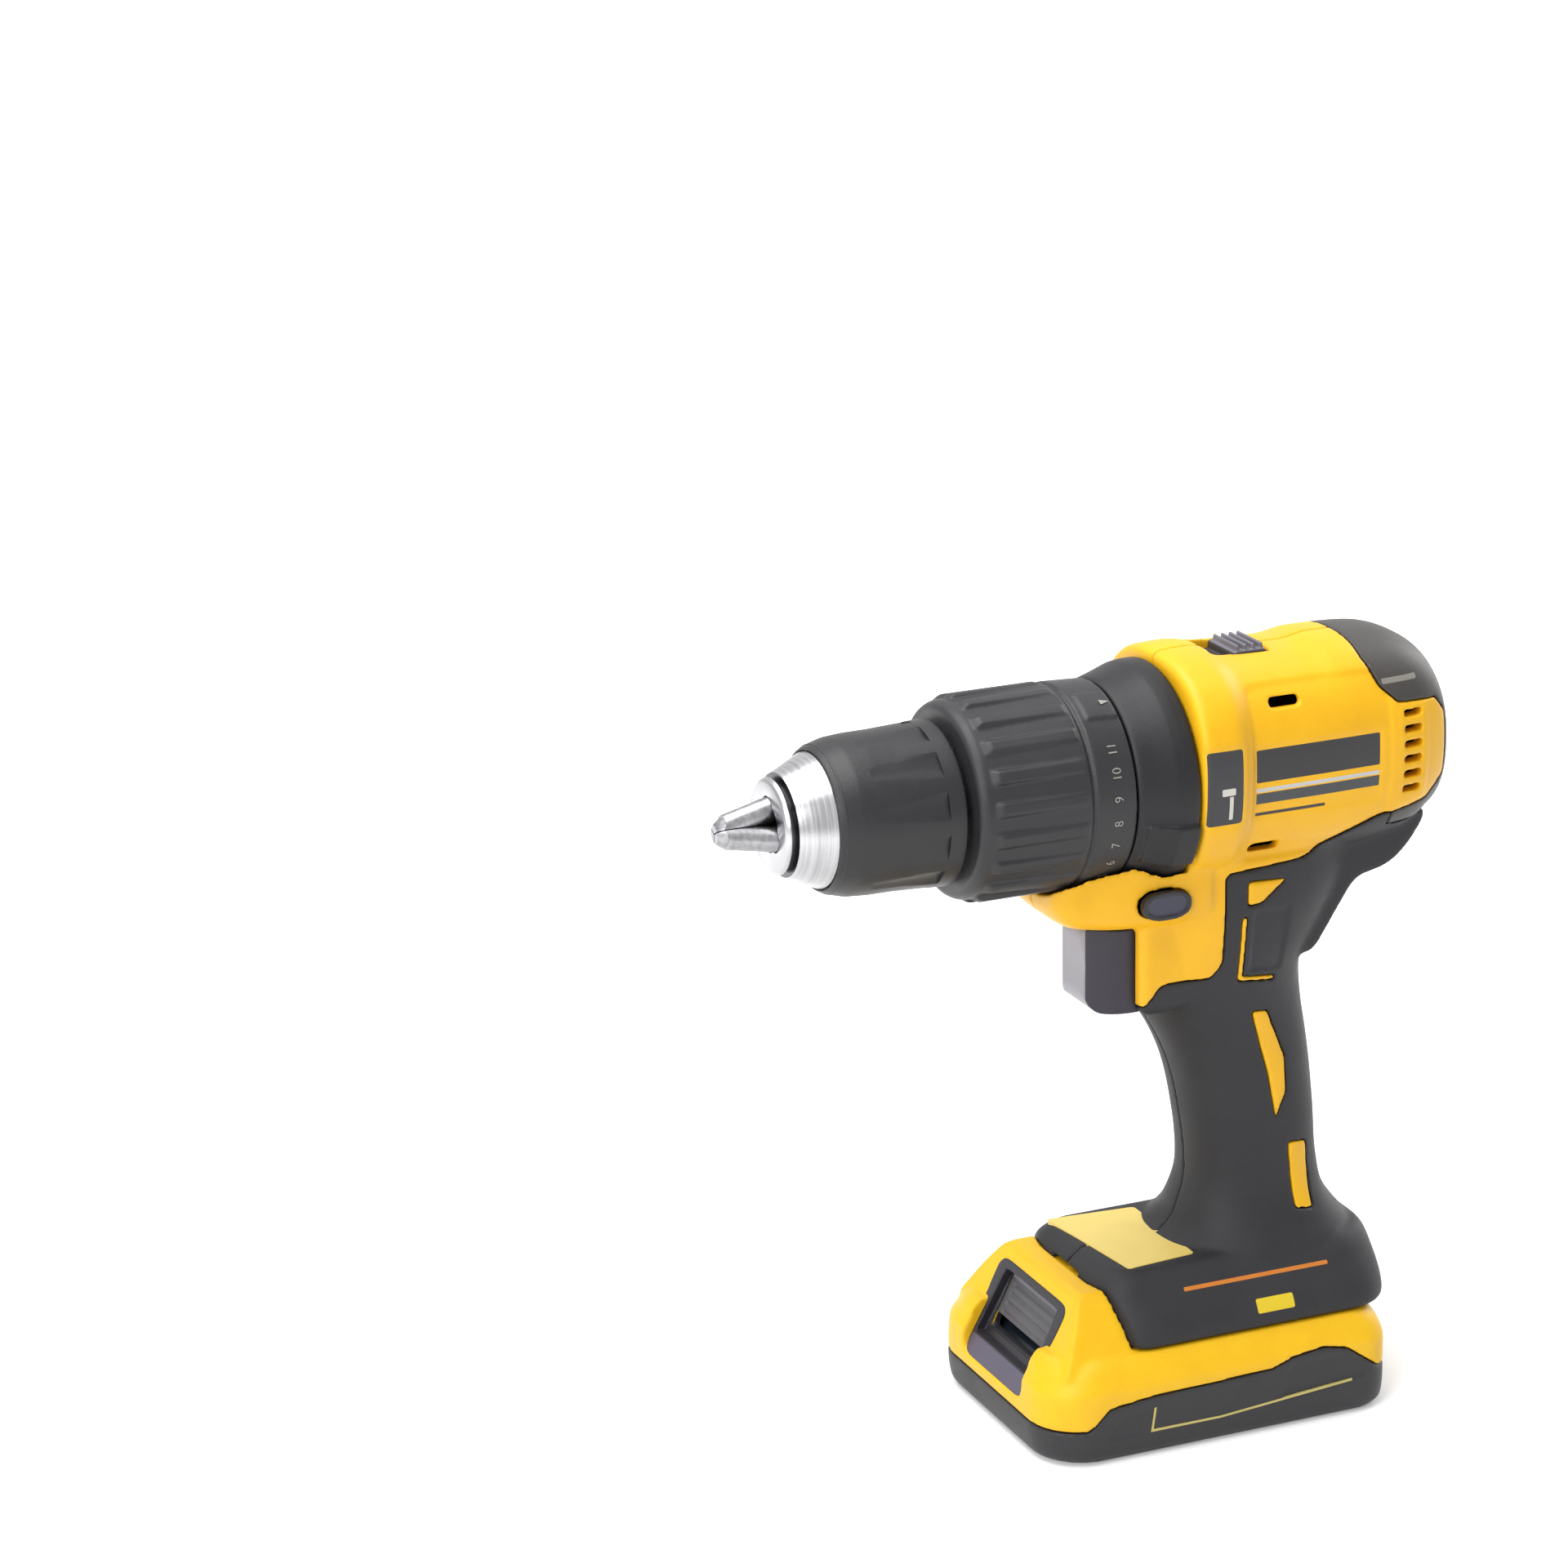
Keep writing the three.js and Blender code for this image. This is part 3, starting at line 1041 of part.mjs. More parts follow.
/** First carrier: lugs on its rim that the sliding ring gear locks to, three pins and the second sun. */
function inputCarrier() {
  const lugs = toothOutline(RING_TEETH).filter((_, i) => Math.floor(i / 4) % LUG_SPACING === 0);
  const plate = spun(frontPrism(lugs, INPUT_CARRIER_X, INPUT_CARRIER_X + CARRIER_PLATE),
    Math.PI / RING_TEETH - RING_PHASE);
  const sun = frontPrism(toothOutline(SUN_TEETH, false, SUN_BACKLASH), OUTPUT_STAGE_X + 0.5,
    INPUT_CARRIER_X + 0.5);
  return union(plate, sun, carrierPins(INPUT_CARRIER_X + 1, INPUT_STAGE_X + INPUT_STAGE_WIDTH - 1));
}
add('input_carrier', inputCarrier(), 'darkSteel');

// ---------------------------------------------------------------------------------------------
// Speed selector: thumb pad, fork and sliding ring gear

const SHIFT_RING_X = INPUT_STAGE_X + INPUT_STAGE_WIDTH - SHIFT_RING_WIDTH;

function shiftRing() {
  const groove = ringX(RING_RADIUS + 2, RING_RADIUS - FORK_GROOVE, FORK_X - GAP, FORK_X + FORK_WIDTH + GAP);
  return ringGear(SHIFT_RING_X, SHIFT_RING_WIDTH).subtract(groove);
}
add('ring_gear_shift', shiftRing(), 'darkSteel');

/** Fork: a strap over the gear case with a pin at each end that reaches into the ring's groove. */
function shiftFork() {
  const strap = ringX(FORK_RADIUS + FORK_THICKNESS, FORK_RADIUS, FORK_X, FORK_X + FORK_WIDTH)
    .intersect(box(-FAR, FAR, -FAR, FAR, -FORK_PIN / 2, FAR));
  const pin = box(FORK_X, FORK_X + FORK_WIDTH, RING_RADIUS - FORK_GROOVE + GAP, FORK_RADIUS + 0.8,
    -FORK_PIN / 2, FORK_PIN / 2);
  const tab = box(FORK_X, FORK_X + FORK_WIDTH, -3, 3, FORK_RADIUS + 0.5,
    SELECTOR_PLATE_TOP - SELECTOR_PLATE + 1.2);
  return union(strap, ...around(pin, 2), tab);
}
add('shift_fork', shiftFork(), 'steel');

function speedButton() {
  const z0 = SELECTOR_PLATE_TOP - SELECTOR_PLATE;
  const plate = box(SELECTOR_PLATE_X, SELECTOR_PLATE_X + SELECTOR_PLATE_LENGTH, -SELECTOR_PLATE_HALF_WIDTH,
    SELECTOR_PLATE_HALF_WIDTH, z0, SELECTOR_PLATE_TOP);
  const pad = box(SELECTOR_X, SELECTOR_X + SELECTOR_LENGTH, -SELECTOR_HALF_WIDTH, SELECTOR_HALF_WIDTH, z0 + 1,
    SELECTOR_TOP - 1.4);
  const ridges = [1.2, 4.4, 7.6].map((dx) => box(SELECTOR_X + dx, SELECTOR_X + dx + 1.6,
    1 - SELECTOR_HALF_WIDTH, SELECTOR_HALF_WIDTH - 1, SELECTOR_TOP - 2, SELECTOR_TOP));
  const forkSlot = box(FORK_X - GAP, FORK_X + FORK_WIDTH + GAP, -3 - GAP, 3 + GAP, z0 - 1, z0 + 1.2 + GAP);
  return union(plate, pad, ...ridges).subtract(forkSlot);
}
add('speed_button', speedButton(), 'plastic');

// ---------------------------------------------------------------------------------------------
// Motor

const MOTOR_PLATE_X = CASE_REAR + GAP;
function motorPlate() {
  const boss = rodX(7.5, MOTOR_PLATE_X, MOTOR_PLATE_X + MOTOR_PLATE + 1);
  return rodX(CASE_RADIUS, MOTOR_PLATE_X, MOTOR_PLATE_X + MOTOR_PLATE)
    .add(boss)
    .subtract(rodX(SHAFT_RADIUS + GAP, MOTOR_PLATE_X - 1, MOTOR_PLATE_X + 9, 0, 0, 16));
}
add('motor_plate', motorPlate(), 'steel');

function statorCore() {
  const bore = ROTOR_RADIUS + AIR_GAP;
  const yoke = ringX(STATOR_RADIUS, bore, STATOR_FRONT, STATOR_FRONT + STATOR_LENGTH);
  const slot = union(
    box(STATOR_FRONT - 1, STATOR_FRONT + STATOR_LENGTH + 1, bore - 1, bore + 2, -0.9, 0.9),
    frontPrism([[bore + 1.2, -3], [STATOR_RADIUS - 3, -6.5], [STATOR_RADIUS - 3, 6.5], [bore + 1.2, 3]],
      STATOR_FRONT - 1, STATOR_FRONT + STATOR_LENGTH + 1),
  );
  return yoke.subtract(union(...around(slot, STATOR_SLOTS, 0.5)));
}
add('stator_core', statorCore(), 'darkSteel');

/** Windings: bars through the slots, joined by an end turn at each end. */
function windings() {
  const bore = ROTOR_RADIUS + AIR_GAP;
  const overhang = 3;
  const from = STATOR_FRONT - overhang - GAP;
  const to = STATOR_FRONT + STATOR_LENGTH + overhang + GAP;
  const bar = frontPrism([[bore + 1.6, -2.5], [STATOR_RADIUS - 3.4, -5.8], [STATOR_RADIUS - 3.4, 5.8],
    [bore + 1.6, 2.5]], from, to);
  const ends = [from, to - overhang].map((x) => ringX(STATOR_RADIUS - 3.4, bore + 1.6, x, x + overhang, 18));
  return union(...around(bar, STATOR_SLOTS, 0.5), ...ends);
}
add('stator_windings', windings(), 'copper');

add('rotor_core', ringX(ROTOR_RADIUS, SHAFT_RADIUS + GAP, STATOR_FRONT - 0.5,
  STATOR_FRONT + STATOR_LENGTH + 0.5), 'darkSteel');
add('rotor_shaft', rodX(SHAFT_RADIUS, INPUT_STAGE_X, REAR_BEARING_X + REAR_BEARING_WIDTH, 0, 0, 16), 'steel');
add('pinion', frontPrism(toothOutline(SUN_TEETH, false, SUN_BACKLASH), INPUT_STAGE_X, MOTOR_PLATE_X - GAP)
  .subtract(rodX(SHAFT_RADIUS + GAP, INPUT_STAGE_X - 1, MOTOR_PLATE_X + 1, 0, 0, 16)), 'steel');

function fan() {
  const hub = ringX(6, SHAFT_RADIUS + GAP, FAN_X, FAN_X + FAN_WIDTH, 24);
  const disc = ringX(FAN_RADIUS, SHAFT_RADIUS + GAP, FAN_X, FAN_X + 1.4);
  const blade = box(FAN_X + 1, FAN_X + FAN_WIDTH, 5.5, FAN_RADIUS - 0.5, -0.6, 0.6);
  return union(hub, disc, ...around(blade, FAN_BLADES));
}
add('fan', fan(), 'plastic');
add('rear_bearing', ringX(REAR_BEARING_RADIUS, SHAFT_RADIUS + GAP, REAR_BEARING_X,
  REAR_BEARING_X + REAR_BEARING_WIDTH, 32), 'steel');

// ---------------------------------------------------------------------------------------------
// Keyless chuck

const JAW_SLOPE = Math.tan(JAW_ANGLE);
const CHUCK_REAR = SLEEVE_REAR - 0.6;
const CHUCK_NUT_X = CONE_REAR + 1.9;

/** A rod along the inclined line of one jaw, between two stations along the spindle axis. */
function inclinedRod(radius, x0, x1, sides = 14) {
  const length = (x1 - x0) / Math.cos(JAW_ANGLE);
  const geometry = new THREE.CylinderGeometry(radius, radius, length, sides);
  geometry.rotateZ(Math.PI / 2);
  geometry.translate(length / 2, 0, 0);
  geometry.rotateY(-JAW_ANGLE);
  geometry.translate(x0, 0, JAW_TIP_OFFSET + (x0 - JAW_TIP) * JAW_SLOPE);
  return solid(geometry);
}

/** One jaw: an inclined rod whose tip is ground to a wedge that meets the other two jaws. */
function jaw() {
  const rod = inclinedRod(JAW_RADIUS, JAW_TIP - 4, JAW_TIP + JAW_LENGTH);
  const spread = FAR * Math.tan(Math.PI / JAW_COUNT);
  const wedge = frontPrism([[0, GAP / 1.7], [spread, FAR], [-spread, FAR]], JAW_TIP, 0);
  const taper = turned([
    [JAW_TIP, 0], [JAW_TIP, 2.6], [JAW_TIP + 2.2, 4.1], [JAW_TIP + 5, 20], [0, 40], [0, 0],
  ]);
  return rod.intersect(wedge).intersect(taper);
}
around(jaw(), JAW_COUNT).forEach((body, i) => {
  add(`jaw_${i + 1}`, body, 'steel');
});

function chuckBody() {
  const groove = CHUCK_NUT_BORE - GAP;
  const outer = turned([
    [NOSE_RING_X, 0], [NOSE_RING_X, NOSE_RING_RADIUS - 0.6], [NOSE_RING_X + 0.6, NOSE_RING_RADIUS + 0.1],
    [CONE_REAR, CONE_RADIUS], [CHUCK_NUT_X - GAP, CONE_RADIUS], [CHUCK_NUT_X - GAP, groove],
    [CHUCK_NUT_X + CHUCK_NUT_WIDTH + GAP, groove], [CHUCK_NUT_X + CHUCK_NUT_WIDTH + GAP, CHUCK_SHANK_RADIUS],
    [CHUCK_REAR - 3.5, CHUCK_SHANK_RADIUS], [CHUCK_REAR - 3, SLEEVE_BORE - GAP],
    [CHUCK_REAR, SLEEVE_BORE - GAP], [CHUCK_REAR, 0],
  ]);
  const ring = ringX(NOSE_RING_RADIUS - 0.9, NOSE_RING_RADIUS - 1.6, NOSE_RING_X - 1, NOSE_RING_X + 1);
  const shankBore = rodX(6.7, NOSE_RING_X - 1, SPINDLE_FRONT - 4, 0, 0, 20);
  const screwHole = rodX(CHUCK_SCREW_RADIUS + GAP, SPINDLE_FRONT - 5, SPINDLE_FRONT + 1, 0, 0, 16);
  const thread = rodX(SPINDLE_RADIUS + GAP, SPINDLE_FRONT - GAP, 0, 0, 0, 20);
  const bore = inclinedRod(JAW_RADIUS + GAP, NOSE_RING_X - 6, CHUCK_REAR + 4, 10);
  return outer.subtract(union(ring, shankBore, screwHole, thread, ...around(bore, JAW_COUNT)));
}
add('chuck_body', mainPiece(chuckBody()), 'steel');

function chuckScrew() {
  const head = rodX(4.2, SPINDLE_FRONT - 4 - 3 - GAP, SPINDLE_FRONT - 4 - GAP, 0, 0, 16);
  const shank = rodX(CHUCK_SCREW_RADIUS, SPINDLE_FRONT - 5, SPINDLE_FRONT + 14, 0, 0, 16);
  const drive = rodX(1.8, SPINDLE_FRONT - 9, SPINDLE_FRONT - 5.8, 0, 0, 6);
  return head.add(shank).subtract(drive);
}
add('chuck_screw', chuckScrew(), 'darkSteel');

add('chuck_nut', ringX(SLEEVE_BORE - GAP, CHUCK_NUT_BORE, CHUCK_NUT_X, CHUCK_NUT_X + CHUCK_NUT_WIDTH),
  'darkSteel');

/** Chuck sleeve, with shallow flutes along its grip. */
function chuckSleeve() {
  const r = SLEEVE_RADIUS;
  const body = turned([
    [CONE_REAR + GAP, CONE_RADIUS + GAP], [CONE_REAR + GAP, CONE_RADIUS + 0.9], [CONE_REAR + 1.8, r - 1],
    [CONE_REAR + 4.6, r - 0.1], [SLEEVE_REAR - 15.3, r - 0.2], [SLEEVE_REAR - 2.5, r + 0.5],
    [SLEEVE_REAR - 0.6, r + 0.6],
    [SLEEVE_REAR, r + 0.1], [SLEEVE_REAR, SLEEVE_BORE], [CHUCK_NUT_X - GAP, SLEEVE_BORE],
    [CHUCK_NUT_X - GAP, CONE_RADIUS + GAP],
  ]);
  const flute = frontPrism([[r - 0.7, -0.9], [r - 0.7, 0.9], [r + 2, 3], [r + 2, -3]], CONE_REAR + 7,
    SLEEVE_REAR - 4);
  return body.subtract(union(...around(flute, SLEEVE_FLUTES, 0.5)));
}
add('chuck_sleeve', chuckSleeve(), 'plastic');

// ---------------------------------------------------------------------------------------------
// Trigger, switch, direction button, worklight and electronics

function trigger() {
  const rear = SWITCH_FRONT - TRIGGER_TRAVEL - 1.5;
  const outline = rounded([
    [rear, TRIGGER_TOP], [TRIGGER_FRONT + 1, TRIGGER_TOP], [TRIGGER_FRONT, TRIGGER_TOP - 2.5],
    [TRIGGER_FRONT + 0.8, TRIGGER_TOP - 11], [TRIGGER_FRONT + 0.2, TRIGGER_BOTTOM + 4],
    [TRIGGER_FRONT + 2.6, TRIGGER_BOTTOM], [rear, TRIGGER_BOTTOM],
  ], 2);
  const plan = rounded([
    [rear + 1, -TRIGGER_HALF_WIDTH], [rear + 1, TRIGGER_HALF_WIDTH],
    [TRIGGER_FRONT + 7.5, TRIGGER_HALF_WIDTH], [TRIGGER_FRONT - 0.1, 7.2], [TRIGGER_FRONT - 0.1, -7.2],
    [TRIGGER_FRONT + 7.5, -TRIGGER_HALF_WIDTH],
  ], 4);
  const shoe = sidePrism(outline, -TRIGGER_HALF_WIDTH, TRIGGER_HALF_WIDTH)
    .intersect(planPrism(plan, TRIGGER_BOTTOM - 1, TRIGGER_TOP + 1));
  const stemZ = SWITCH_TOP - SWITCH_HEIGHT / 2;
  const stem = box(rear - 3, SWITCH_FRONT + 1, -STEM_HALF_WIDTH, STEM_HALF_WIDTH, stemZ - STEM_HALF_WIDTH,
    stemZ + STEM_HALF_WIDTH);
  return shoe.add(stem);
}
add('trigger', trigger(), 'plastic');

function switchBody() {
  const stemZ = SWITCH_TOP - SWITCH_HEIGHT / 2;
  const bore = STEM_HALF_WIDTH + GAP;
  const body = box(SWITCH_FRONT, SWITCH_FRONT + SWITCH_LENGTH, -SWITCH_HALF_WIDTH, SWITCH_HALF_WIDTH,
    SWITCH_TOP - SWITCH_HEIGHT, SWITCH_TOP);
  const well = box(SWITCH_FRONT - 1, SWITCH_FRONT + TRIGGER_TRAVEL + 1 + GAP, -bore, bore, stemZ - bore,
    stemZ + bore);
  return body.subtract(well);
}
add('switch_body', switchBody(), 'plastic');

/** Direction button: an oval cap on each flank, joined under the gear case by a low bridge. */
function directionButton() {
  const reach = CHIN_HALF_WIDTH - 1 + DIRECTION_PROUD;
  const inner = reach - DIRECTION_CAP;
  const clear = MODE_RADIUS + MODE_LUG_HEIGHT + GAP;
  const overBridge = box(-FAR, FAR, -inner, inner, -clear - GAP, FAR);
  const collars = rodX(clear, -FAR, FAR, DIRECTION_TRAVEL).add(rodX(clear, -FAR, FAR, -DIRECTION_TRAVEL));
  return sidePrism(directionOutline(0), -reach, reach).subtract(overBridge).subtract(collars);
}
add('direction_button', mainPiece(directionButton()), 'plastic');

function worklight() {
  return rodZ(WORKLIGHT_RADIUS, -CHIN_BOTTOM + 1, -CHIN_BOTTOM + 6 - GAP, WORKLIGHT_X);
}
add('worklight', worklight(), 'lens');

/** Control board, held in grooves between the two halves of the handle. */
function controlBoard() {
  const halfWidth = HANDLE_HALF_WIDTH - SKIN - GAP - WALL - GAP;
  return box(31, 32.6, -halfWidth, halfWidth, FOOT_TOP + 15, -66);
}
add('control_board', controlBoard(), 'board');

/** Terminal block with four blades that reach into the battery tower. */
function terminalBlock() {
  const block = box(TOWER_REAR + GAP + 1, POCKET_REAR - GAP, -16, 16, TOWER_HEAD_BOTTOM, TOWER_TOP);
  const blades = BLADES.map((y) => box(TERMINAL_TIP, TOWER_REAR + 3, y - 0.5, y + 0.5,
    TOWER_HEAD_BOTTOM + 1.2, TOWER_TOP - 1.5));
  return union(block, ...blades);
}
add('terminal_block', terminalBlock(), 'plastic');

// ---------------------------------------------------------------------------------------------
// Battery

const CELL_Z = BATTERY_BOTTOM + BATTERY_WALL + GAP + CELL_RADIUS;
const LAST_CELL_X = BATTERY_REAR - BATTERY_WALL - 3 * GAP - CELL_RADIUS;

/** Body of the battery below the deck, at its surface or set in by a depth. */
function packBody(inset) {
  const w = BATTERY_HALF_WIDTH;
  const stations = [
    [BATTERY_BOTTOM + inset, BATTERY_FRONT + 2.5, BATTERY_REAR - 2, w - 2.5],
    [BATTERY_BOTTOM + 2.5 + inset / 2, BATTERY_FRONT + 0.6, BATTERY_REAR - 0.3, w - 0.6],
    [BATTERY_BOTTOM + 9, BATTERY_FRONT, BATTERY_REAR, w],
    [BATTERY_SEAM_SIDE + 1.5, BATTERY_FRONT + 0.5, BATTERY_REAR, w],
    [BATTERY_DECK - 5.5, BATTERY_FRONT + 2, BATTERY_REAR - 0.4, w - 0.9],
    [BATTERY_DECK - 1, BATTERY_FRONT + 4.5, BATTERY_REAR - 2.5, w - 4],
    [BATTERY_DECK - inset, BATTERY_FRONT + 5.5, BATTERY_REAR - 3.5, w - 5],
  ];
  return loftPlan(stations.map(([z, front, rear, halfWidth]) => [
    z,
    front + inset,
    rear - inset,
    halfWidth - inset,
    BATTERY_CORNER - inset,
    BATTERY_REAR_CORNER - inset,
  ]));
}

/** Side outline of the steep front block that carries the release window. */
const BLOCK_REAR = FOOT_FRONT + 3.5;
const BLOCK_SIDE = [
  [BLOCK_REAR, FOOT_TOP - 4.2], [FOOT_FRONT - 7.8, FOOT_TOP - 4.2], [FOOT_FRONT - 10.1, FOOT_TOP - 5.3],
  [BATTERY_FRONT + 2.2, BATTERY_SEAM + 6], [BATTERY_FRONT + 1.2, BATTERY_SEAM + 2.5],
  [BLOCK_REAR, BATTERY_SEAM + 2.5],
];

function frontBlock() {
  const w = FOOT_HALF_WIDTH;
  const right = [
    [w + 1.4, BATTERY_SEAM + 1], [w, FOOT_BOTTOM - 4], [w - 2.7, FOOT_BOTTOM + 1],
    [w - 5.9, FOOT_BOTTOM + 6.5], [w - 9.8, FOOT_TOP - 6.4], [w - 12.4, FOOT_TOP - 4.2],
  ];
  const left = right.map(([y, z]) => [-y, z]).reverse();
  const plan = planRing(BATTERY_FRONT, FAR, w + 1.5, BATTERY_CORNER, 1);
  const footRoom = foot(-GAP);
  return sidePrism(BLOCK_SIDE, -FAR, FAR)
    .intersect(frontPrism([...right, ...left], -FAR, BLOCK_REAR))
    .intersect(planPrism(plan, BATTERY_BOTTOM, 0))
    .subtract(footRoom.add(footRoom.translate([0, 0, -GAP])));
}

// Side outline of the joint between base and cover.
const SEAM = [
  [-FAR, BATTERY_SEAM], [FOOT_FRONT - 13.5, BATTERY_SEAM], [FOOT_FRONT - 7.5, BATTERY_SEAM_SIDE - 2.2],
  [FOOT_FRONT + 4.5, BATTERY_SEAM_SIDE - 0.9], [BATTERY_REAR - 37, BATTERY_SEAM_SIDE],
  [BATTERY_REAR - 31, BATTERY_SEAM_SIDE + 2], [BATTERY_REAR - 21, BATTERY_SEAM_SIDE + 3.2],
  [BATTERY_REAR - 14, BATTERY_SEAM_SIDE + 1.7], [BATTERY_REAR - 8, BATTERY_SEAM_SIDE - 2.7],
  [BATTERY_REAR - 4, BATTERY_SEAM + 2], [FAR, BATTERY_SEAM + 2],
];

/** All that lies under the joint, lowered by half a gap. */
function belowSeam() {
  const edge = SEAM.map(([x, z]) => [x, z - GAP / 2]);
  return sidePrism([[-FAR, -FAR], ...edge, [FAR, -FAR]], -FAR, FAR);
}

/** All that lies over the joint, lifted by half a gap. */
function aboveSeam() {
  const edge = SEAM.map(([x, z]) => [x, z + GAP / 2]);
  return sidePrism([...edge, [FAR, 0], [-FAR, 0]], -FAR, FAR);
}

/** Distance along X of the steep front face at a height. */
function faceX(z) {
  const [top, bottom] = [BLOCK_SIDE[2], BLOCK_SIDE[3]];
  return top[0] + (bottom[0] - top[0]) * (z - top[1]) / (bottom[1] - top[1]);
}

/** Room for the cells, which stops short of the floor behind the release window. */
function cellRoom() {
  const depth = WINDOW_DEPTH + BATTERY_WALL;
  const windowBack = sidePrism([
    [-FAR, 0], [faceX(0) + depth, 0], [faceX(BATTERY_BOTTOM) + depth, BATTERY_BOTTOM], [-FAR, BATTERY_BOTTOM],
  ], -WINDOW_HALF_WIDTH - BATTERY_WALL, WINDOW_HALF_WIDTH + BATTERY_WALL);
  return packBody(BATTERY_WALL).subtract(windowBack);
}

function batteryBase() {
  return packBody(0).intersect(belowSeam()).subtract(cellRoom());
}
add('battery_base', mainPiece(batteryBase()), 'plastic');

/** Recess of the release window, a slanted pocket that follows the front face. */
function windowPocket() {
  const outline = [
    [faceX(WINDOW_TOP) - 10, WINDOW_TOP], [faceX(WINDOW_TOP) + WINDOW_DEPTH, WINDOW_TOP],
    [faceX(WINDOW_BOTTOM) + WINDOW_DEPTH, WINDOW_BOTTOM], [faceX(WINDOW_BOTTOM) - 10, WINDOW_BOTTOM],
  ];
  const front = rounded([
    [-WINDOW_HALF_WIDTH, WINDOW_BOTTOM], [WINDOW_HALF_WIDTH, WINDOW_BOTTOM],
    [WINDOW_HALF_WIDTH - 1.5, WINDOW_TOP], [1.5 - WINDOW_HALF_WIDTH, WINDOW_TOP],
  ], 4);
  return sidePrism(outline, -FAR, FAR).intersect(frontPrism(front, -FAR, 0));
}

/** Room for the release slider and its tongue, with its travel. */
function releaseRoom() {
  const plate = RELEASE_HALF_WIDTH + GAP;
  const tongue = LATCH_HALF_WIDTH + GAP;
  return union(
    box(RELEASE_X - GAP, RELEASE_X + RELEASE_PLATE + GAP, -plate, plate,
      RELEASE_BOTTOM - RELEASE_TRAVEL - GAP, RELEASE_ARM_TOP + GAP),
    box(RELEASE_X, LATCH_X + LATCH_LENGTH + GAP, -tongue, tongue,
      RELEASE_ARM_TOP - RELEASE_PLATE - RELEASE_TRAVEL - GAP, RELEASE_ARM_TOP + GAP),
    box(LATCH_X - GAP, LATCH_X + LATCH_LENGTH + GAP, -tongue, tongue, RELEASE_ARM_TOP - 1, LATCH_TOP + 5),
    releasePad(GAP, RELEASE_TRAVEL),
  );
}

/** Finger pad in the window, at its size or with a margin and the travel below it. */
function releasePad(margin, travel) {
  const front = PAD_PROUD - margin;
  const bottom = PAD_BOTTOM - margin;
  const outline = [
    [RELEASE_X + 1, PAD_TOP + margin], [faceX(PAD_TOP) + front, PAD_TOP + margin],
    [faceX(PAD_BOTTOM) + front, bottom], [faceX(PAD_BOTTOM) + front, bottom - travel - 0.01],
    [RELEASE_X + 1, bottom - travel - 0.01],
  ];
  return sidePrism(outline, -RELEASE_HALF_WIDTH - margin, RELEASE_HALF_WIDTH + margin);
}

function releaseButton() {
  return union(
    releasePad(0, 0),
    box(RELEASE_X, RELEASE_X + RELEASE_PLATE, -RELEASE_HALF_WIDTH, RELEASE_HALF_WIDTH, RELEASE_BOTTOM,
      RELEASE_ARM_TOP),
    box(RELEASE_X + 1, LATCH_X + LATCH_LENGTH, -LATCH_HALF_WIDTH, LATCH_HALF_WIDTH,
      RELEASE_ARM_TOP - RELEASE_PLATE, RELEASE_ARM_TOP),
    sidePrism([
      [LATCH_X, RELEASE_ARM_TOP - 1], [LATCH_X + LATCH_LENGTH, RELEASE_ARM_TOP - 1],
      [LATCH_X + LATCH_LENGTH, LATCH_TOP - 1.2], [LATCH_X + LATCH_LENGTH - 1.5, LATCH_TOP],
      [LATCH_X, LATCH_TOP],
    ], -LATCH_HALF_WIDTH, LATCH_HALF_WIDTH),
  );
}
add('release_button', releaseButton(), 'rubber');

/** Cover of the battery: the deck, the tower that slides into the foot and the steep front block. */
function batteryCover() {
  const tower = frontPrism(towerOutline(0), TOWER_FRONT, TOWER_REAR)
    .intersect(box(FOOT_FRONT - 8, FAR, -FAR, FAR, BATTERY_DECK - 10, TOWER_TOP));
  const outer = union(packBody(0).intersect(aboveSeam()), frontBlock().intersect(aboveSeam()), tower);
  const bladeSlots = BLADES.map((y) => box(TERMINAL_TIP - 1, TOWER_REAR + 1, y - 1, y + 1,
    TOWER_HEAD_BOTTOM + 0.6, TOWER_TOP + 1));
  return outer.subtract(union(cellRoom(), ...bladeSlots, windowPocket(), releaseRoom()));
}
add('battery_cover', mainPiece(batteryCover()), 'housing');

Array.from({ length: CELL_COUNT }, (_, i) => i).forEach((i) => {
  const cell = rodY(CELL_RADIUS, -CELL_LENGTH / 2, CELL_LENGTH / 2, LAST_CELL_X - i * CELL_PITCH, CELL_Z, 24);
  add(`cell_${i + 1}`, cell, 'cell');
});

// ---------------------------------------------------------------------------------------------
// The origin is the middle of the base.

drill.position.set(-(JAW_TIP + BARREL_LENGTH) / 2, 0, SPINDLE_HEIGHT);

export default drill;
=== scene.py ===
import math

import bmesh
import bpy
import numpy as np
from mathutils import Matrix, Vector


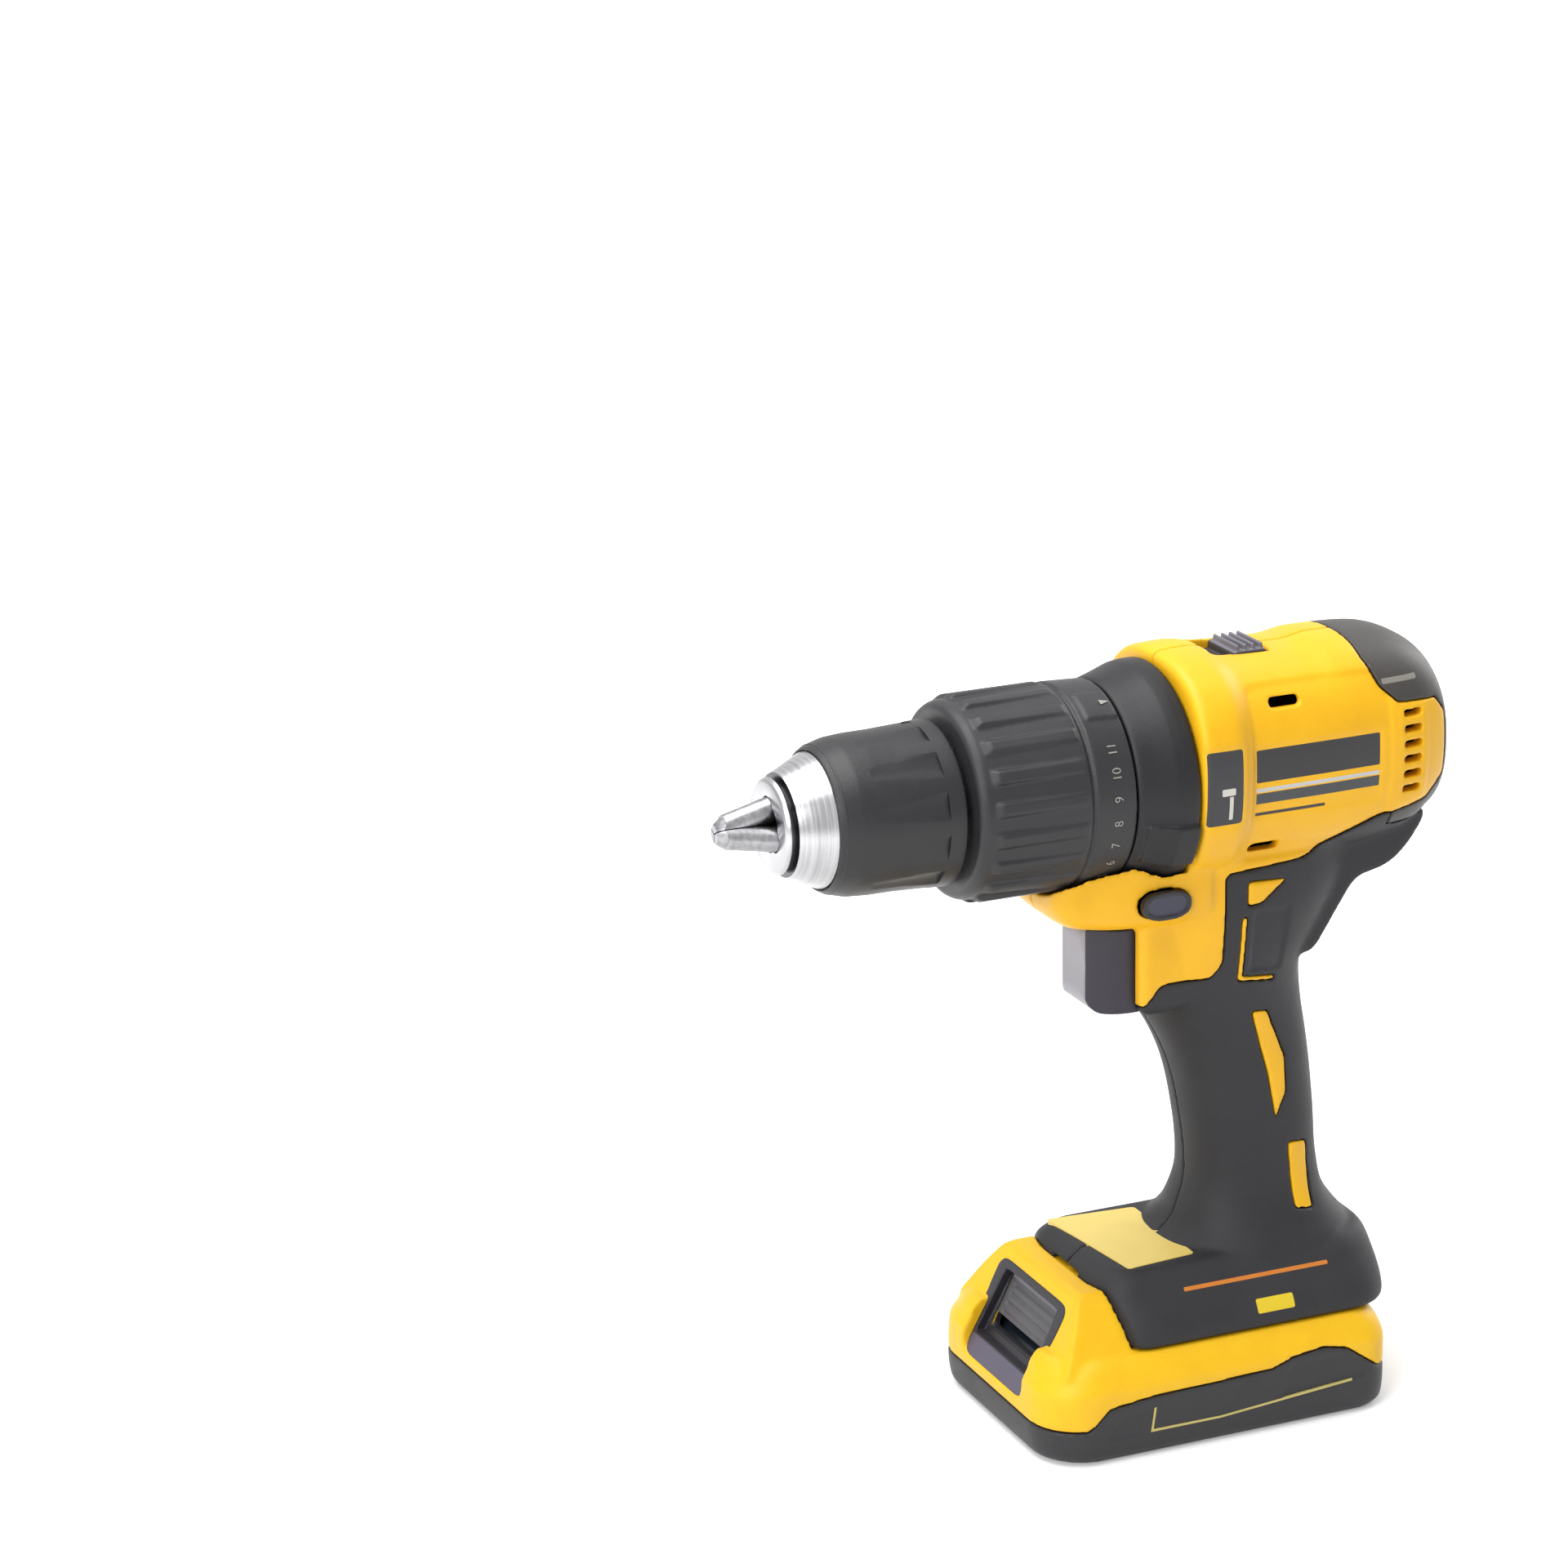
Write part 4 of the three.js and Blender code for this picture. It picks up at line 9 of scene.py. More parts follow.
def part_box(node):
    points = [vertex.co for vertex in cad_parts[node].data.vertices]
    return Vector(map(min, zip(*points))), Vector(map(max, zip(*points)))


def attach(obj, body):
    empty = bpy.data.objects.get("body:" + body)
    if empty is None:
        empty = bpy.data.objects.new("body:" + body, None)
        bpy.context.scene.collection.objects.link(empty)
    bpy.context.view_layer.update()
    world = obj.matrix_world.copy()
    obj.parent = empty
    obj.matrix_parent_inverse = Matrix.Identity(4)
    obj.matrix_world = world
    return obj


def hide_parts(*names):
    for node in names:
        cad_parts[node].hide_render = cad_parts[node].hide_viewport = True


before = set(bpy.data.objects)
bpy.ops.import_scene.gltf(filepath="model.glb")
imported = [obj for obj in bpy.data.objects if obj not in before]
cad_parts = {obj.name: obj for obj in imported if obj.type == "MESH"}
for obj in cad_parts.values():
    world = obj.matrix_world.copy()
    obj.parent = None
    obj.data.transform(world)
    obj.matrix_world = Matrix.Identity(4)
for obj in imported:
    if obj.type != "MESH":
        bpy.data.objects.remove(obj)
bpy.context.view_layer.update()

# ------------------------------------------------------------------------------------------------
# Camera, floor and lights.
# The drill stands on its battery on a pale studio floor, seen from its left side, a little from the
# front and from above, under three large soft lamps.

CAMERA_AZIMUTH = math.radians(-22.73)
CAMERA_ELEVATION = math.radians(17.5)
CAMERA_ROLL = math.radians(-1.1)
CAMERA_PLACE = Vector((-0.51845, -1.0409, 0.5435))
CAMERA_LENS = 107.55

back = Vector((
    math.sin(CAMERA_AZIMUTH) * math.cos(CAMERA_ELEVATION),
    -math.cos(CAMERA_AZIMUTH) * math.cos(CAMERA_ELEVATION),
    math.sin(CAMERA_ELEVATION),
))
level = Vector((0, 0, 1)).cross(back).normalized()
upright = back.cross(level)
across = math.cos(CAMERA_ROLL) * level + math.sin(CAMERA_ROLL) * upright
above = math.cos(CAMERA_ROLL) * upright - math.sin(CAMERA_ROLL) * level
view_camera = bpy.data.cameras.new("view_camera")
view_camera.lens = CAMERA_LENS
view_camera.sensor_width = 36
camera = bpy.data.objects.new("view_camera", view_camera)
bpy.context.scene.collection.objects.link(camera)
camera_turn = Matrix((across, above, back)).transposed().to_4x4()
camera.matrix_world = Matrix.Translation(CAMERA_PLACE) @ camera_turn
bpy.context.scene.camera = camera
bpy.context.scene.view_settings.view_transform = "Standard"


def feed(tree, node, inputs):
    """Gives a node's inputs their values, or links them where a value is another node's output."""
    for key, value in inputs.items():
        if isinstance(value, bpy.types.NodeSocket):
            tree.links.new(value, node.inputs[key])
        else:
            node.inputs[key].default_value = value


def add_node(tree, kind, inputs=None, **settings):
    """A new node with its settings and its inputs."""
    node = tree.nodes.new(kind)
    for name, value in settings.items():
        setattr(node, name, value)
    feed(tree, node, inputs or {})
    return node


def number_math(tree, operation, *sources, clamp=False):
    return add_node(tree, "ShaderNodeMath", dict(enumerate(sources)), operation=operation,
                    use_clamp=clamp).outputs[0]


def seen_directly(tree):
    """1 for rays from the camera, a reflection or a clear piece, and 0 for other light."""
    ray = add_node(tree, "ShaderNodeLightPath")
    result = ray.outputs["Is Camera Ray"]
    for kind in ("Is Glossy Ray", "Is Transmission Ray"):
        result = number_math(tree, "MAXIMUM", result, ray.outputs[kind])
    return result


def new_material(name):
    """An empty material, its nodes and its shader."""
    material = bpy.data.materials.new(name)
    material.use_nodes = True
    return material, material.node_tree, material.node_tree.nodes["Principled BSDF"]


FLOOR_SIZE = 12
FLOOR_DROP = 0.0002
SHADOW_REACH, WHITE_REACH, SHADOW_GLOW = 0.12, 0.6, 0.22
WHITE = (1, 1, 1, 1)
bpy.ops.object.select_all(action="DESELECT")
bpy.ops.mesh.primitive_plane_add(size=FLOOR_SIZE, location=(0, 0, -FLOOR_DROP))
floor = bpy.context.object
floor.name = "studio_floor"
floor_paint, floor_tree, floor_shader = new_material("studio floor")
floor.data.materials.append(floor_paint)

# The floor turns white with distance to the eye, and keeps the soft shadow round the battery.
floor_place = add_node(floor_tree, "ShaderNodeTexCoord")
floor_reach = add_node(floor_tree, "ShaderNodeVectorMath", {0: floor_place.outputs["Object"]},
    operation="LENGTH")
floor_white = add_node(floor_tree, "ShaderNodeMapRange", {
    "Value": floor_reach.outputs["Value"], "From Min": SHADOW_REACH, "From Max": WHITE_REACH,
    "To Min": SHADOW_GLOW, "To Max": 1.0,
}, interpolation_type="SMOOTHSTEP")
feed(floor_tree, floor_shader, {
    "Base Color": (0.94, 0.94, 0.94, 1), "Roughness": 0.9, "Specular IOR Level": 0.1,
    "Emission Color": WHITE,
    "Emission Strength": number_math(
        floor_tree, "MULTIPLY", floor_white.outputs["Result"], seen_directly(floor_tree)),
})

# From below, the floor is clear, so that the underside of the battery shows.
floor_mix = add_node(floor_tree, "ShaderNodeMixShader", {
    0: add_node(floor_tree, "ShaderNodeNewGeometry").outputs["Backfacing"],
    1: floor_shader.outputs[0],
    2: add_node(floor_tree, "ShaderNodeBsdfTransparent").outputs[0],
})
feed(floor_tree, floor_tree.nodes["Material Output"], {"Surface": floor_mix.outputs[0]})

# The world is white to the eye and in reflections, and lights the drill softly from all sides.
FILL_STRENGTH = 0.29
world = bpy.data.worlds.new("studio")
bpy.context.scene.world = world
world.use_nodes = True
world_tree = world.node_tree
world_tree.nodes.clear()
seen = add_node(world_tree, "ShaderNodeBackground", {"Color": WHITE, "Strength": 1.0})
filling = add_node(world_tree, "ShaderNodeBackground", {"Color": WHITE, "Strength": FILL_STRENGTH})
choice = add_node(world_tree, "ShaderNodeMixShader", {
    0: seen_directly(world_tree), 1: filling.outputs[0], 2: seen.outputs[0]})
add_node(world_tree, "ShaderNodeOutputWorld", {"Surface": choice.outputs[0]})

TARGET = Vector((0.0, 0.0, 0.11))


def lamp(name, place, size, watts):
    """A large soft square lamp that faces the drill."""
    data = bpy.data.lights.new(name, "AREA")
    data.shape = "RECTANGLE"
    data.size, data.size_y = size
    data.energy = watts
    obj = bpy.data.objects.new(name, data)
    bpy.context.scene.collection.objects.link(obj)
    obj.matrix_world = Matrix.Translation(place) @ (
        (TARGET - Vector(place)).to_track_quat("-Z", "Y").to_matrix().to_4x4())
    return obj


lamp("lamp_above", (-0.25, 0.05, 1.1), (1.1, 0.8), 14.5)
lamp("lamp_left_front", (-1.0, -0.75, 0.75), (0.7, 0.7), 9)
lamp("lamp_right_behind", (0.95, 0.35, 0.6), (0.5, 0.9), 6)

# ------------------------------------------------------------------------------------------------
# Clamshell: two yellow halves of glass-filled nylon, moulded and screwed together from the right.
# The motor barrel, the trigger housing and the foot are one flowing form; the black overmould
# leaves bright inlays showing on the handle.

collar_low, collar_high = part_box("torque_collar")
ORIGIN = Vector((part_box("mode_collar")[1].x + 0.0005, 0, (collar_low.z + collar_high.z) / 2))
GAP = 0.3
COARSE = 1.0


def flat_face(name, points):
    """One face with its corners at these points, in millimetres from the front of the clamshell."""
    bpy.ops.object.select_all(action="DESELECT")
    bpy.ops.mesh.primitive_circle_add(vertices=len(points), radius=1, fill_type="NGON")
    obj = bpy.context.object
    obj.name = name
    for vertex, point in zip(obj.data.vertices, points):
        vertex.co = point
    return obj


def start_edit():
    bpy.ops.object.mode_set(mode="EDIT")
    bpy.ops.mesh.select_all(action="SELECT")


def end_edit():
    """Turns the faces of the closed form outwards, and leaves edit mode."""
    bpy.ops.mesh.select_all(action="SELECT")
    bpy.ops.mesh.normals_make_consistent(inside=False)
    bpy.ops.object.mode_set(mode="OBJECT")


def prism(name, points, depth):
    """That face pulled out along a depth into a closed block."""
    obj = flat_face(name, points)
    start_edit()
    bpy.ops.mesh.extrude_region_move(TRANSFORM_OT_translate={"value": depth})
    end_edit()
    return obj


def side_prism(name, outline, y0=-60, y1=60):
    return prism(name, [(x, y0, z) for x, z in outline], (0, y1 - y0, 0))


def front_prism(name, outline, x0, x1):
    return prism(name, [(x0, y, z) for y, z in outline], (x1 - x0, 0, 0))


def plan_prism(name, outline, z0, z1):
    return prism(name, [(x, y, z0) for x, y in outline], (0, 0, z1 - z0))


def oblong(u0, u1, v0, v1):
    return [(u0, v0), (u1, v0), (u1, v1), (u0, v1)]


def circle(u, v, radius, sides):
    turn = [2 * math.pi * i / sides for i in range(sides)]
    return [(u + radius * math.cos(a), v + radius * math.sin(a)) for a in turn]


def block(name, x0, x1, y0, y1, z0, z1):
    return plan_prism(name, oblong(x0, x1, y0, y1), z0, z1)


def rod(name, radius, x0, x1, y=0, z=0, sides=96):
    return front_prism(name, circle(y, z, radius, sides), x0, x1)


def loft(name, rings):
    """A closed form drawn through rings of equally many points."""
    obj = flat_face(name, rings[0])
    start_edit()
    for ring, following in zip(rings, rings[1:]):
        bpy.ops.mesh.extrude_region_move()
        mesh = bmesh.from_edit_mesh(obj.data)
        goal = {tuple(Vector(p)): q for p, q in zip(ring, following)}
        for vertex in mesh.verts:
            if vertex.select:
                vertex.co = goal[tuple(vertex.co)]
        bmesh.update_edit_mesh(obj.data)
    end_edit()
    return obj


def eased(stations, steps=8):
    """The stations with smooth in-between ones, which never overshoot their neighbours."""
    values = np.array(stations, dtype=float)
    slopes = np.zeros_like(values)
    rises = values[1:] - values[:-1]
    agree = rises[1:] * rises[:-1] > 0
    lengths = np.abs(rises[:, :1])
    rates = rises / lengths
    slopes[1:-1] = np.where(agree, (rates[1:] * lengths[:-1] + rates[:-1] * lengths[1:])
                            / (lengths[1:] + lengths[:-1]), 0)
    limit = 2.5 * np.minimum(np.abs(rates[1:]), np.abs(rates[:-1]))
    slopes[1:-1] = np.sign(slopes[1:-1]) * np.minimum(np.abs(slopes[1:-1]), limit)
    slopes[0], slopes[-1] = rates[0], rates[-1]
    result = [values[0]]
    for i in range(len(values) - 1):
        for step in range(1, steps + 1):
            t = step / steps
            h = (2 * t**3 - 3 * t**2 + 1, t**3 - 2 * t**2 + t, 3 * t**2 - 2 * t**3, t**3 - t**2)
            result.append(h[0] * values[i] + h[1] * lengths[i] * slopes[i]
                          + h[2] * values[i + 1] + h[3] * lengths[i] * slopes[i + 1])
    return [list(row) for row in result]


def superellipse(half_u, half_v, exponent, count):
    power = 2 / exponent
    points = []
    for i in range(count):
        angle = 2 * math.pi * (i + 0.5) / count
        c, s = math.cos(angle), math.sin(angle)
        points.append((half_u * math.copysign(abs(c) ** power, c),
            half_v * math.copysign(abs(s) ** power, s)))
    return points


def loft_x(name, stations, exponent, count=72, steps=6):
    """A form along X through stations of (x, half width, top, bottom)."""
    rings = []
    for x, half, top, bottom in eased(stations, steps):
        oval = superellipse(half, (top - bottom) / 2, exponent, count)
        rings.append([(x, y, z + (top + bottom) / 2) for y, z in oval])
    return loft(name, rings)


def loft_z(name, stations, exponent, count=72, steps=6):
    """A form along Z through stations of (z, front, rear, half width)."""
    rings = []
    for z, front, rear, half in eased(stations, steps):
        oval = superellipse((rear - front) / 2, half, exponent, count)
        rings.append([(x + (rear + front) / 2, y, z) for x, y in oval])
    return loft(name, rings)


def plan_ring(front, rear, half, front_radius, rear_radius, steps=10):
    """A rounded rectangle in plan."""
    corners = [
        (front + front_radius, -half + front_radius, front_radius, math.pi),
        (rear - rear_radius, -half + rear_radius, rear_radius, 1.5 * math.pi),
        (rear - rear_radius, half - rear_radius, rear_radius, 0),
        (front + front_radius, half - front_radius, front_radius, 0.5 * math.pi),
    ]
    return [(x + radius * math.cos(start + i / steps * math.pi / 2),
             y + radius * math.sin(start + i / steps * math.pi / 2))
            for x, y, radius, start in corners for i in range(steps + 1)]


def loft_plan(name, stations, steps=6):
    """A form along Z through stations of (z, front, rear, half width, two corner radii)."""
    return loft(name, [[(x, y, z) for x, y in plan_ring(*plan)]
                       for z, *plan in eased(stations, steps)])


SEAM_REACH = 0.0005


def turned(name, outline, steps=144):
    """A ring turned about the spindle axis from a closed outline of (x, radius)."""
    bpy.ops.object.select_all(action="DESELECT")
    bpy.ops.mesh.primitive_circle_add(vertices=len(outline), radius=1, fill_type="NOTHING")
    obj = bpy.context.object
    obj.name = name
    for vertex, (x, radius) in zip(obj.data.vertices, outline):
        vertex.co = (x, 0, radius)
    start_edit()
    bpy.ops.mesh.spin(steps=steps, angle=2 * math.pi, center=(0, 0, 0), axis=(1, 0, 0))
    bpy.ops.mesh.select_all(action="SELECT")
    bpy.ops.mesh.remove_doubles(threshold=SEAM_REACH)
    end_edit()
    return obj


def rounded(points, radius, steps=5):
    """The outline with its corners rounded by up to this radius."""
    corners = [Vector(p) for p in points]
    outline = []
    for i, corner in enumerate(corners):
        before, after = corners[i - 1], corners[(i + 1) % len(corners)]
        reach = min(radius, (corner - before).length / 2.1, (corner - after).length / 2.1)
        start = corner.lerp(before, reach / (corner - before).length)
        end = corner.lerp(after, reach / (corner - after).length)
        for step in range(steps + 1):
            t = step / steps
            outline.append(tuple((1 - t) ** 2 * start + 2 * t * (1 - t) * corner + t * t * end))
    return outline


def offset(points, distance):
    """The outline moved outwards by a distance, or inwards where it is negative."""
    area = sum(a[0] * b[1] - b[0] * a[1] for a, b in zip([points[-1], *points], points))
    turn = 1 if area > 0 else -1
    result = []
    for i, point in enumerate(points):
        into = (Vector(point) - Vector(points[i - 1])).normalized()
        out = (Vector(points[(i + 1) % len(points)]) - Vector(point)).normalized()
        normal = Vector((into.y + out.y, -into.x - out.x)).normalized()
        stretch = max(0.5, normal.x * into.y - normal.y * into.x)
        result.append(tuple(Vector(point) + turn * distance / stretch * normal))
    return result


def only(obj):
    """Selects this object alone and makes it the active one."""
    bpy.ops.object.select_all(action="DESELECT")
    obj.select_set(True)
    bpy.context.view_layer.objects.active = obj


def combine(obj, tool, operation):
    """Joins, cuts or trims obj by tool, which is used up."""
    only(obj)
    modifier = obj.modifiers.new("combine", "BOOLEAN")
    modifier.object = tool
    modifier.operation = operation
    modifier.solver = "MANIFOLD"
    bpy.ops.object.modifier_apply(modifier="combine")
    bpy.data.objects.remove(tool)
    return obj


def join(obj, *tools):
    for tool in tools:
        combine(obj, tool, "UNION")
    return obj


def cut(obj, *tools):
    for tool in tools:
        combine(obj, tool, "DIFFERENCE")
    return obj


def trim(obj, *tools):
    for tool in tools:
        combine(obj, tool, "INTERSECT")
    return obj


def twin(obj, name):
    copy = obj.copy()
    copy.data = obj.data.copy()
    copy.name = name
    bpy.context.scene.collection.objects.link(copy)
    return copy


def soften(obj, size, rounds, factor=0.5):
    """Turns obj into an even mesh of this size and eases its edges, as a mould's radii do."""
    only(obj)
    even = obj.modifiers.new("even", "REMESH")
    even.mode = "VOXEL"
    even.voxel_size = size * COARSE
    bpy.ops.object.modifier_apply(modifier="even")
    ease = obj.modifiers.new("ease", "SMOOTH")
    ease.iterations = rounds
    ease.factor = factor
    bpy.ops.object.modifier_apply(modifier="ease")
    return obj


def press(obj, outline, depth, softness, axis=1, only_below=None):
    """Presses the skin in by a depth inside an outline seen along an axis, with soft borders."""
    mesh = obj.data
    count = len(mesh.vertices)
    points = np.empty(count * 3)
    mesh.vertices.foreach_get("co", points)
    points = points.reshape(-1, 3)
    normals = np.empty(count * 3)
    mesh.vertices.foreach_get("normal", normals)
    normals = normals.reshape(-1, 3)
    u, v = [i for i in range(3) if i != axis]
    flat = points[:, [u, v]]
    corners = np.array(outline, dtype=float)
    inside = np.zeros(count, dtype=bool)
    nearest = np.full(count, 1e9)
    for a, b in zip(corners, np.roll(corners, -1, axis=0)):
        edge = b - a
        along = np.clip(((flat - a) @ edge) / max(edge @ edge, 1e-9), 0, 1)
        nearest = np.minimum(nearest, np.linalg.norm(flat - a - along[:, None] * edge, axis=1))
        crosses = (a[1] > flat[:, 1]) != (b[1] > flat[:, 1])
        rise = np.where(abs(edge[1]) < 1e-9, 1e-9, edge[1])
        inside ^= crosses & (flat[:, 0] < a[0] + (flat[:, 1] - a[1]) * edge[0] / rise)
    distance = np.where(inside, nearest, -nearest)
    share = np.clip(distance / softness + 0.5, 0, 1)
    share = share * share * (3 - 2 * share)
    share *= np.clip((np.abs(normals[:, axis]) - 0.2) / 0.2, 0, 1)
    if only_below is not None:
        share *= points[:, axis] < only_below
    points -= normals * (share * depth)[:, None]
    mesh.vertices.foreach_set("co", points.ravel())
    mesh.update()
    return obj


def settle(obj, material, body, slot, *nodes):
    """Puts a finished piece in its place, with its material, on the body that it rides on."""
    obj.data.transform(Matrix.Translation(ORIGIN) @ Matrix.Scale(0.001, 4))
    obj.data.materials.clear()
    obj.data.materials.append(material)
    if nodes:
        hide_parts(*nodes)
    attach(obj, body)
    return obj


def smooth_within(obj, degrees):
    only(obj)
    bpy.ops.object.shade_smooth_by_angle(angle=math.radians(degrees))
    return obj


def socket(group, name, direction, kind="NodeSocketFloat", value=None):
    item = group.interface.new_socket(name=name, in_out=direction, socket_type=kind)
    if value is not None:
        item.default_value = value


# The materials of the moulded pieces share one fine grain and one faint mottle of handling marks.
moulding = bpy.data.node_groups.new("moulded grain", "ShaderNodeTree")
socket(moulding, "Grain Scale", "INPUT", value=3200.0)
socket(moulding, "Mottle Scale", "INPUT", value=60.0)
socket(moulding, "Height", "OUTPUT")
socket(moulding, "Mottle", "OUTPUT")
g_in = moulding.nodes.new("NodeGroupInput")
g_place = add_node(moulding, "ShaderNodeTexCoord")
g_grain = add_node(moulding, "ShaderNodeTexNoise", {
    "Vector": g_place.outputs["Object"], "Scale": g_in.outputs["Grain Scale"], "Detail": 2.0})
g_mottle = add_node(moulding, "ShaderNodeTexNoise", {
    "Vector": g_place.outputs["Object"], "Scale": g_in.outputs["Mottle Scale"], "Detail": 5.0,
    "Roughness": 0.65})
add_node(moulding, "NodeGroupOutput",
    {"Height": g_grain.outputs["Fac"], "Mottle": g_mottle.outputs["Fac"]})


def vector_math(tree, operation, *sources):
    node = add_node(tree, "ShaderNodeVectorMath", dict(enumerate(sources)), operation=operation)
    return node.outputs["Value" if operation == "LENGTH" else "Vector"]


# A printed patch: a rounded rectangle in the side view, as on a label or a pad-printed mark.
EDGE_SHARPNESS = 9000.0
patch = bpy.data.node_groups.new("printed patch", "ShaderNodeTree")
socket(patch, "Centre", "INPUT", "NodeSocketVector")
socket(patch, "Half Size", "INPUT", "NodeSocketVector")
socket(patch, "Corner", "INPUT", value=0.001)
socket(patch, "Slant", "INPUT", value=0.0)
socket(patch, "Mask", "OUTPUT")
p_in = patch.nodes.new("NodeGroupInput")
p_place = add_node(patch, "ShaderNodeTexCoord")
p_split = add_node(patch, "ShaderNodeSeparateXYZ", {
    0: vector_math(patch, "SUBTRACT", p_place.outputs["Object"], p_in.outputs["Centre"])})
leaning = number_math(patch, "SUBTRACT", p_split.outputs["X"],
                      number_math(patch, "MULTIPLY", p_split.outputs["Z"], p_in.outputs["Slant"]))
p_join = add_node(patch, "ShaderNodeCombineXYZ", {
    "X": leaning, "Y": p_split.outputs["Y"], "Z": p_split.outputs["Z"]})
p_corner = add_node(patch, "ShaderNodeCombineXYZ",
    {letter: p_in.outputs["Corner"] for letter in "XYZ"})
corner_free = vector_math(patch, "SUBTRACT", p_in.outputs["Half Size"], p_corner.outputs[0])
over_corner = vector_math(patch, "SUBTRACT", vector_math(patch, "ABSOLUTE", p_join.outputs[0]),
    corner_free)
outside_by = vector_math(patch, "LENGTH", vector_math(patch, "MAXIMUM", over_corner, (0, 0, 0)))
beyond = number_math(patch, "SUBTRACT", outside_by, p_in.outputs["Corner"])
add_node(patch, "NodeGroupOutput", {
    "Mask": number_math(patch, "MULTIPLY", beyond, -EDGE_SHARPNESS, clamp=True)})


def print_patch(tree, centre, half, corner=0.6, slant=0.0):
    """The mask of one printed patch, given in millimetres from the front of the clamshell."""
    return add_node(tree, "ShaderNodeGroup", {
        "Centre": [ORIGIN[i] + centre[i] / 1000 for i in range(3)],
        "Half Size": [value / 1000 for value in half],
        "Corner": corner / 1000, "Slant": slant}, node_tree=patch).outputs["Mask"]


def blend(tree, mask, first, second):
    """first where the mask is 0, second where it is 1."""
    ends = [(*colour, 1) if isinstance(colour, tuple) else colour for colour in (first, second)]
    return add_node(tree, "ShaderNodeMix", {"Factor": mask, 6: ends[0], 7: ends[1]},
        data_type="RGBA").outputs[2]


def between(tree, value, low, high):
    """Maps the middle of a noise to a span, such as a roughness."""
    return add_node(tree, "ShaderNodeMapRange", {
        "Value": value, "From Min": 0.3, "From Max": 0.7, "To Min": low,
        "To Max": high}).outputs["Result"]


def moulded(name, light, dark, rough, bump, grain=3200.0, mottle=60.0, specular=0.5):
    """A moulded plastic or rubber."""
    material, tree, shader = new_material(name)
    texture = add_node(tree, "ShaderNodeGroup", {"Grain Scale": grain, "Mottle Scale": mottle},
                       node_tree=moulding)
    relief = add_node(tree, "ShaderNodeBump", {
        "Strength": bump, "Distance": 0.0002, "Height": texture.outputs["Height"]})
    feed(tree, shader, {
        "Base Color": blend(tree, between(tree, texture.outputs["Mottle"], 0.0, 1.0), dark, light),
        "Roughness": between(tree, texture.outputs["Mottle"], *rough),
        "Normal": relief.outputs["Normal"], "Specular IOR Level": specular})
    return material


def printed(material, *prints, around=False):
    """Lays colours over a material, each inside its patches, or around them."""
    tree = material.node_tree
    base_colour = tree.nodes["Principled BSDF"].inputs["Base Color"]
    for paint, *patches in prints:
        masks = [print_patch(tree, *places) for places in patches]
        mask = masks[0]
        for other in masks[1:]:
            mask = number_math(tree, "MAXIMUM", mask, other)
        layers = (base_colour.links[0].from_socket, paint)
        tree.links.new(blend(tree, mask, *(reversed(layers) if around else layers)), base_colour)
    return material


yellow_nylon = printed(
    moulded("yellow nylon", (0.87, 0.475, 0.009), (0.81, 0.42, 0.007), (0.34, 0.5), 0.25,
        specular=0.36),
    ((0.035, 0.035, 0.038), ((6, 0, 2.4), (5.2, 60, 10), 1.0)),
    ((0.03, 0.028, 0.03), ((35, 0, 5.8), (18.4, 60, 4.4), 0.5)),
    ((0.55, 0.55, 0.56), ((35, 0, -0.6), (18.4, 60, 0.55), 0.3)),
    ((0.05, 0.055, 0.06), ((35, 0, -2.9), (18.4, 60, 1.5), 0.3)),
    ((0.04, 0.03, 0.03), ((27, 0, -7.2), (10.4, 60, 0.5), 0.3)),
    ((0.62, 0.6, 0.55), ((7.6, 0, -3), (0.6, 60, 3.2), 0.3), ((6.8, 0, 1.4), (2, 60, 1), 0.4)),
)

BARREL_STATIONS = [
    (0, 29.7, 30.9, -26.3), (1.5, 31, 32.2, -27.5), (10, 31, 32.6, -27.5), (16, 28, 31.8, -26.9),
    (37, 27.8, 31, -26.5), (46, 27.6, 32.3, -26), (58, 27, 32.1, -25), (72, 24, 28.6, -20.5),
    (78.1, 18.5, 20, -14.5), (80.1, 14, 14, -9.5),
]
CHIN_STATIONS = [
    (-35, 12.5, -17, -31), (-33, 15.5, -14.5, -34), (-25, 18, -12, -37), (-10, 21, -9, -38),
    (7, 22, -9, -38),
]
HANDLE_STATIONS = [
    (-20, -14, 56, 21.5), (-32, -14, 54, 21.5), (-46, -11, 46.5, 20.2), (-56, -11, 42, 18.5),
    (-66, -3, 42.8, 16.7), (-76, 2.8, 44.5, 16), (-98, 9, 47, 16), (-113, 10.5, 48.1, 16.5),
    (-122, 8.6, 50.2, 18.6), (-127.5, 6, 54, 21.6), (-130.6, 2.5, 56.5, 23.5),
    (-134, -2, 57.5, 24.5),
]
CHEEK_STATIONS = [
    (-34, -11.3, 14, 17.3, 2.4, 3), (-52.8, -11.3, 12, 17.3, 2.4, 3),
    (-59.3, -11.1, 6, 16.8, 2.4, 3), (-62.3, -9.5, 1, 15.3, 2.4, 3),
]
FOOT_STATIONS = [
    (-131, -20.1, 57.1, 21.2, 7, 14), (-132, -21.5, 58.3, 22.6, 7, 14),
    (-137, -25.7, 59.2, 27.2, 10, 14), (-146, -26.5, 59.5, 32.9, 12, 14),
    (-149, -26.5, 59.5, 33.2, 12, 14),
]
FOOT_NOSE, FOOT_BOW = -26.5, 76
SHELF_OUTLINE = [
    (76, -19), (70, -27.5), (64.5, -31.8), (54.5, -34), (50.5, -40), (42, -53), (30, -53),
    (30, -12), (72, -12),
]


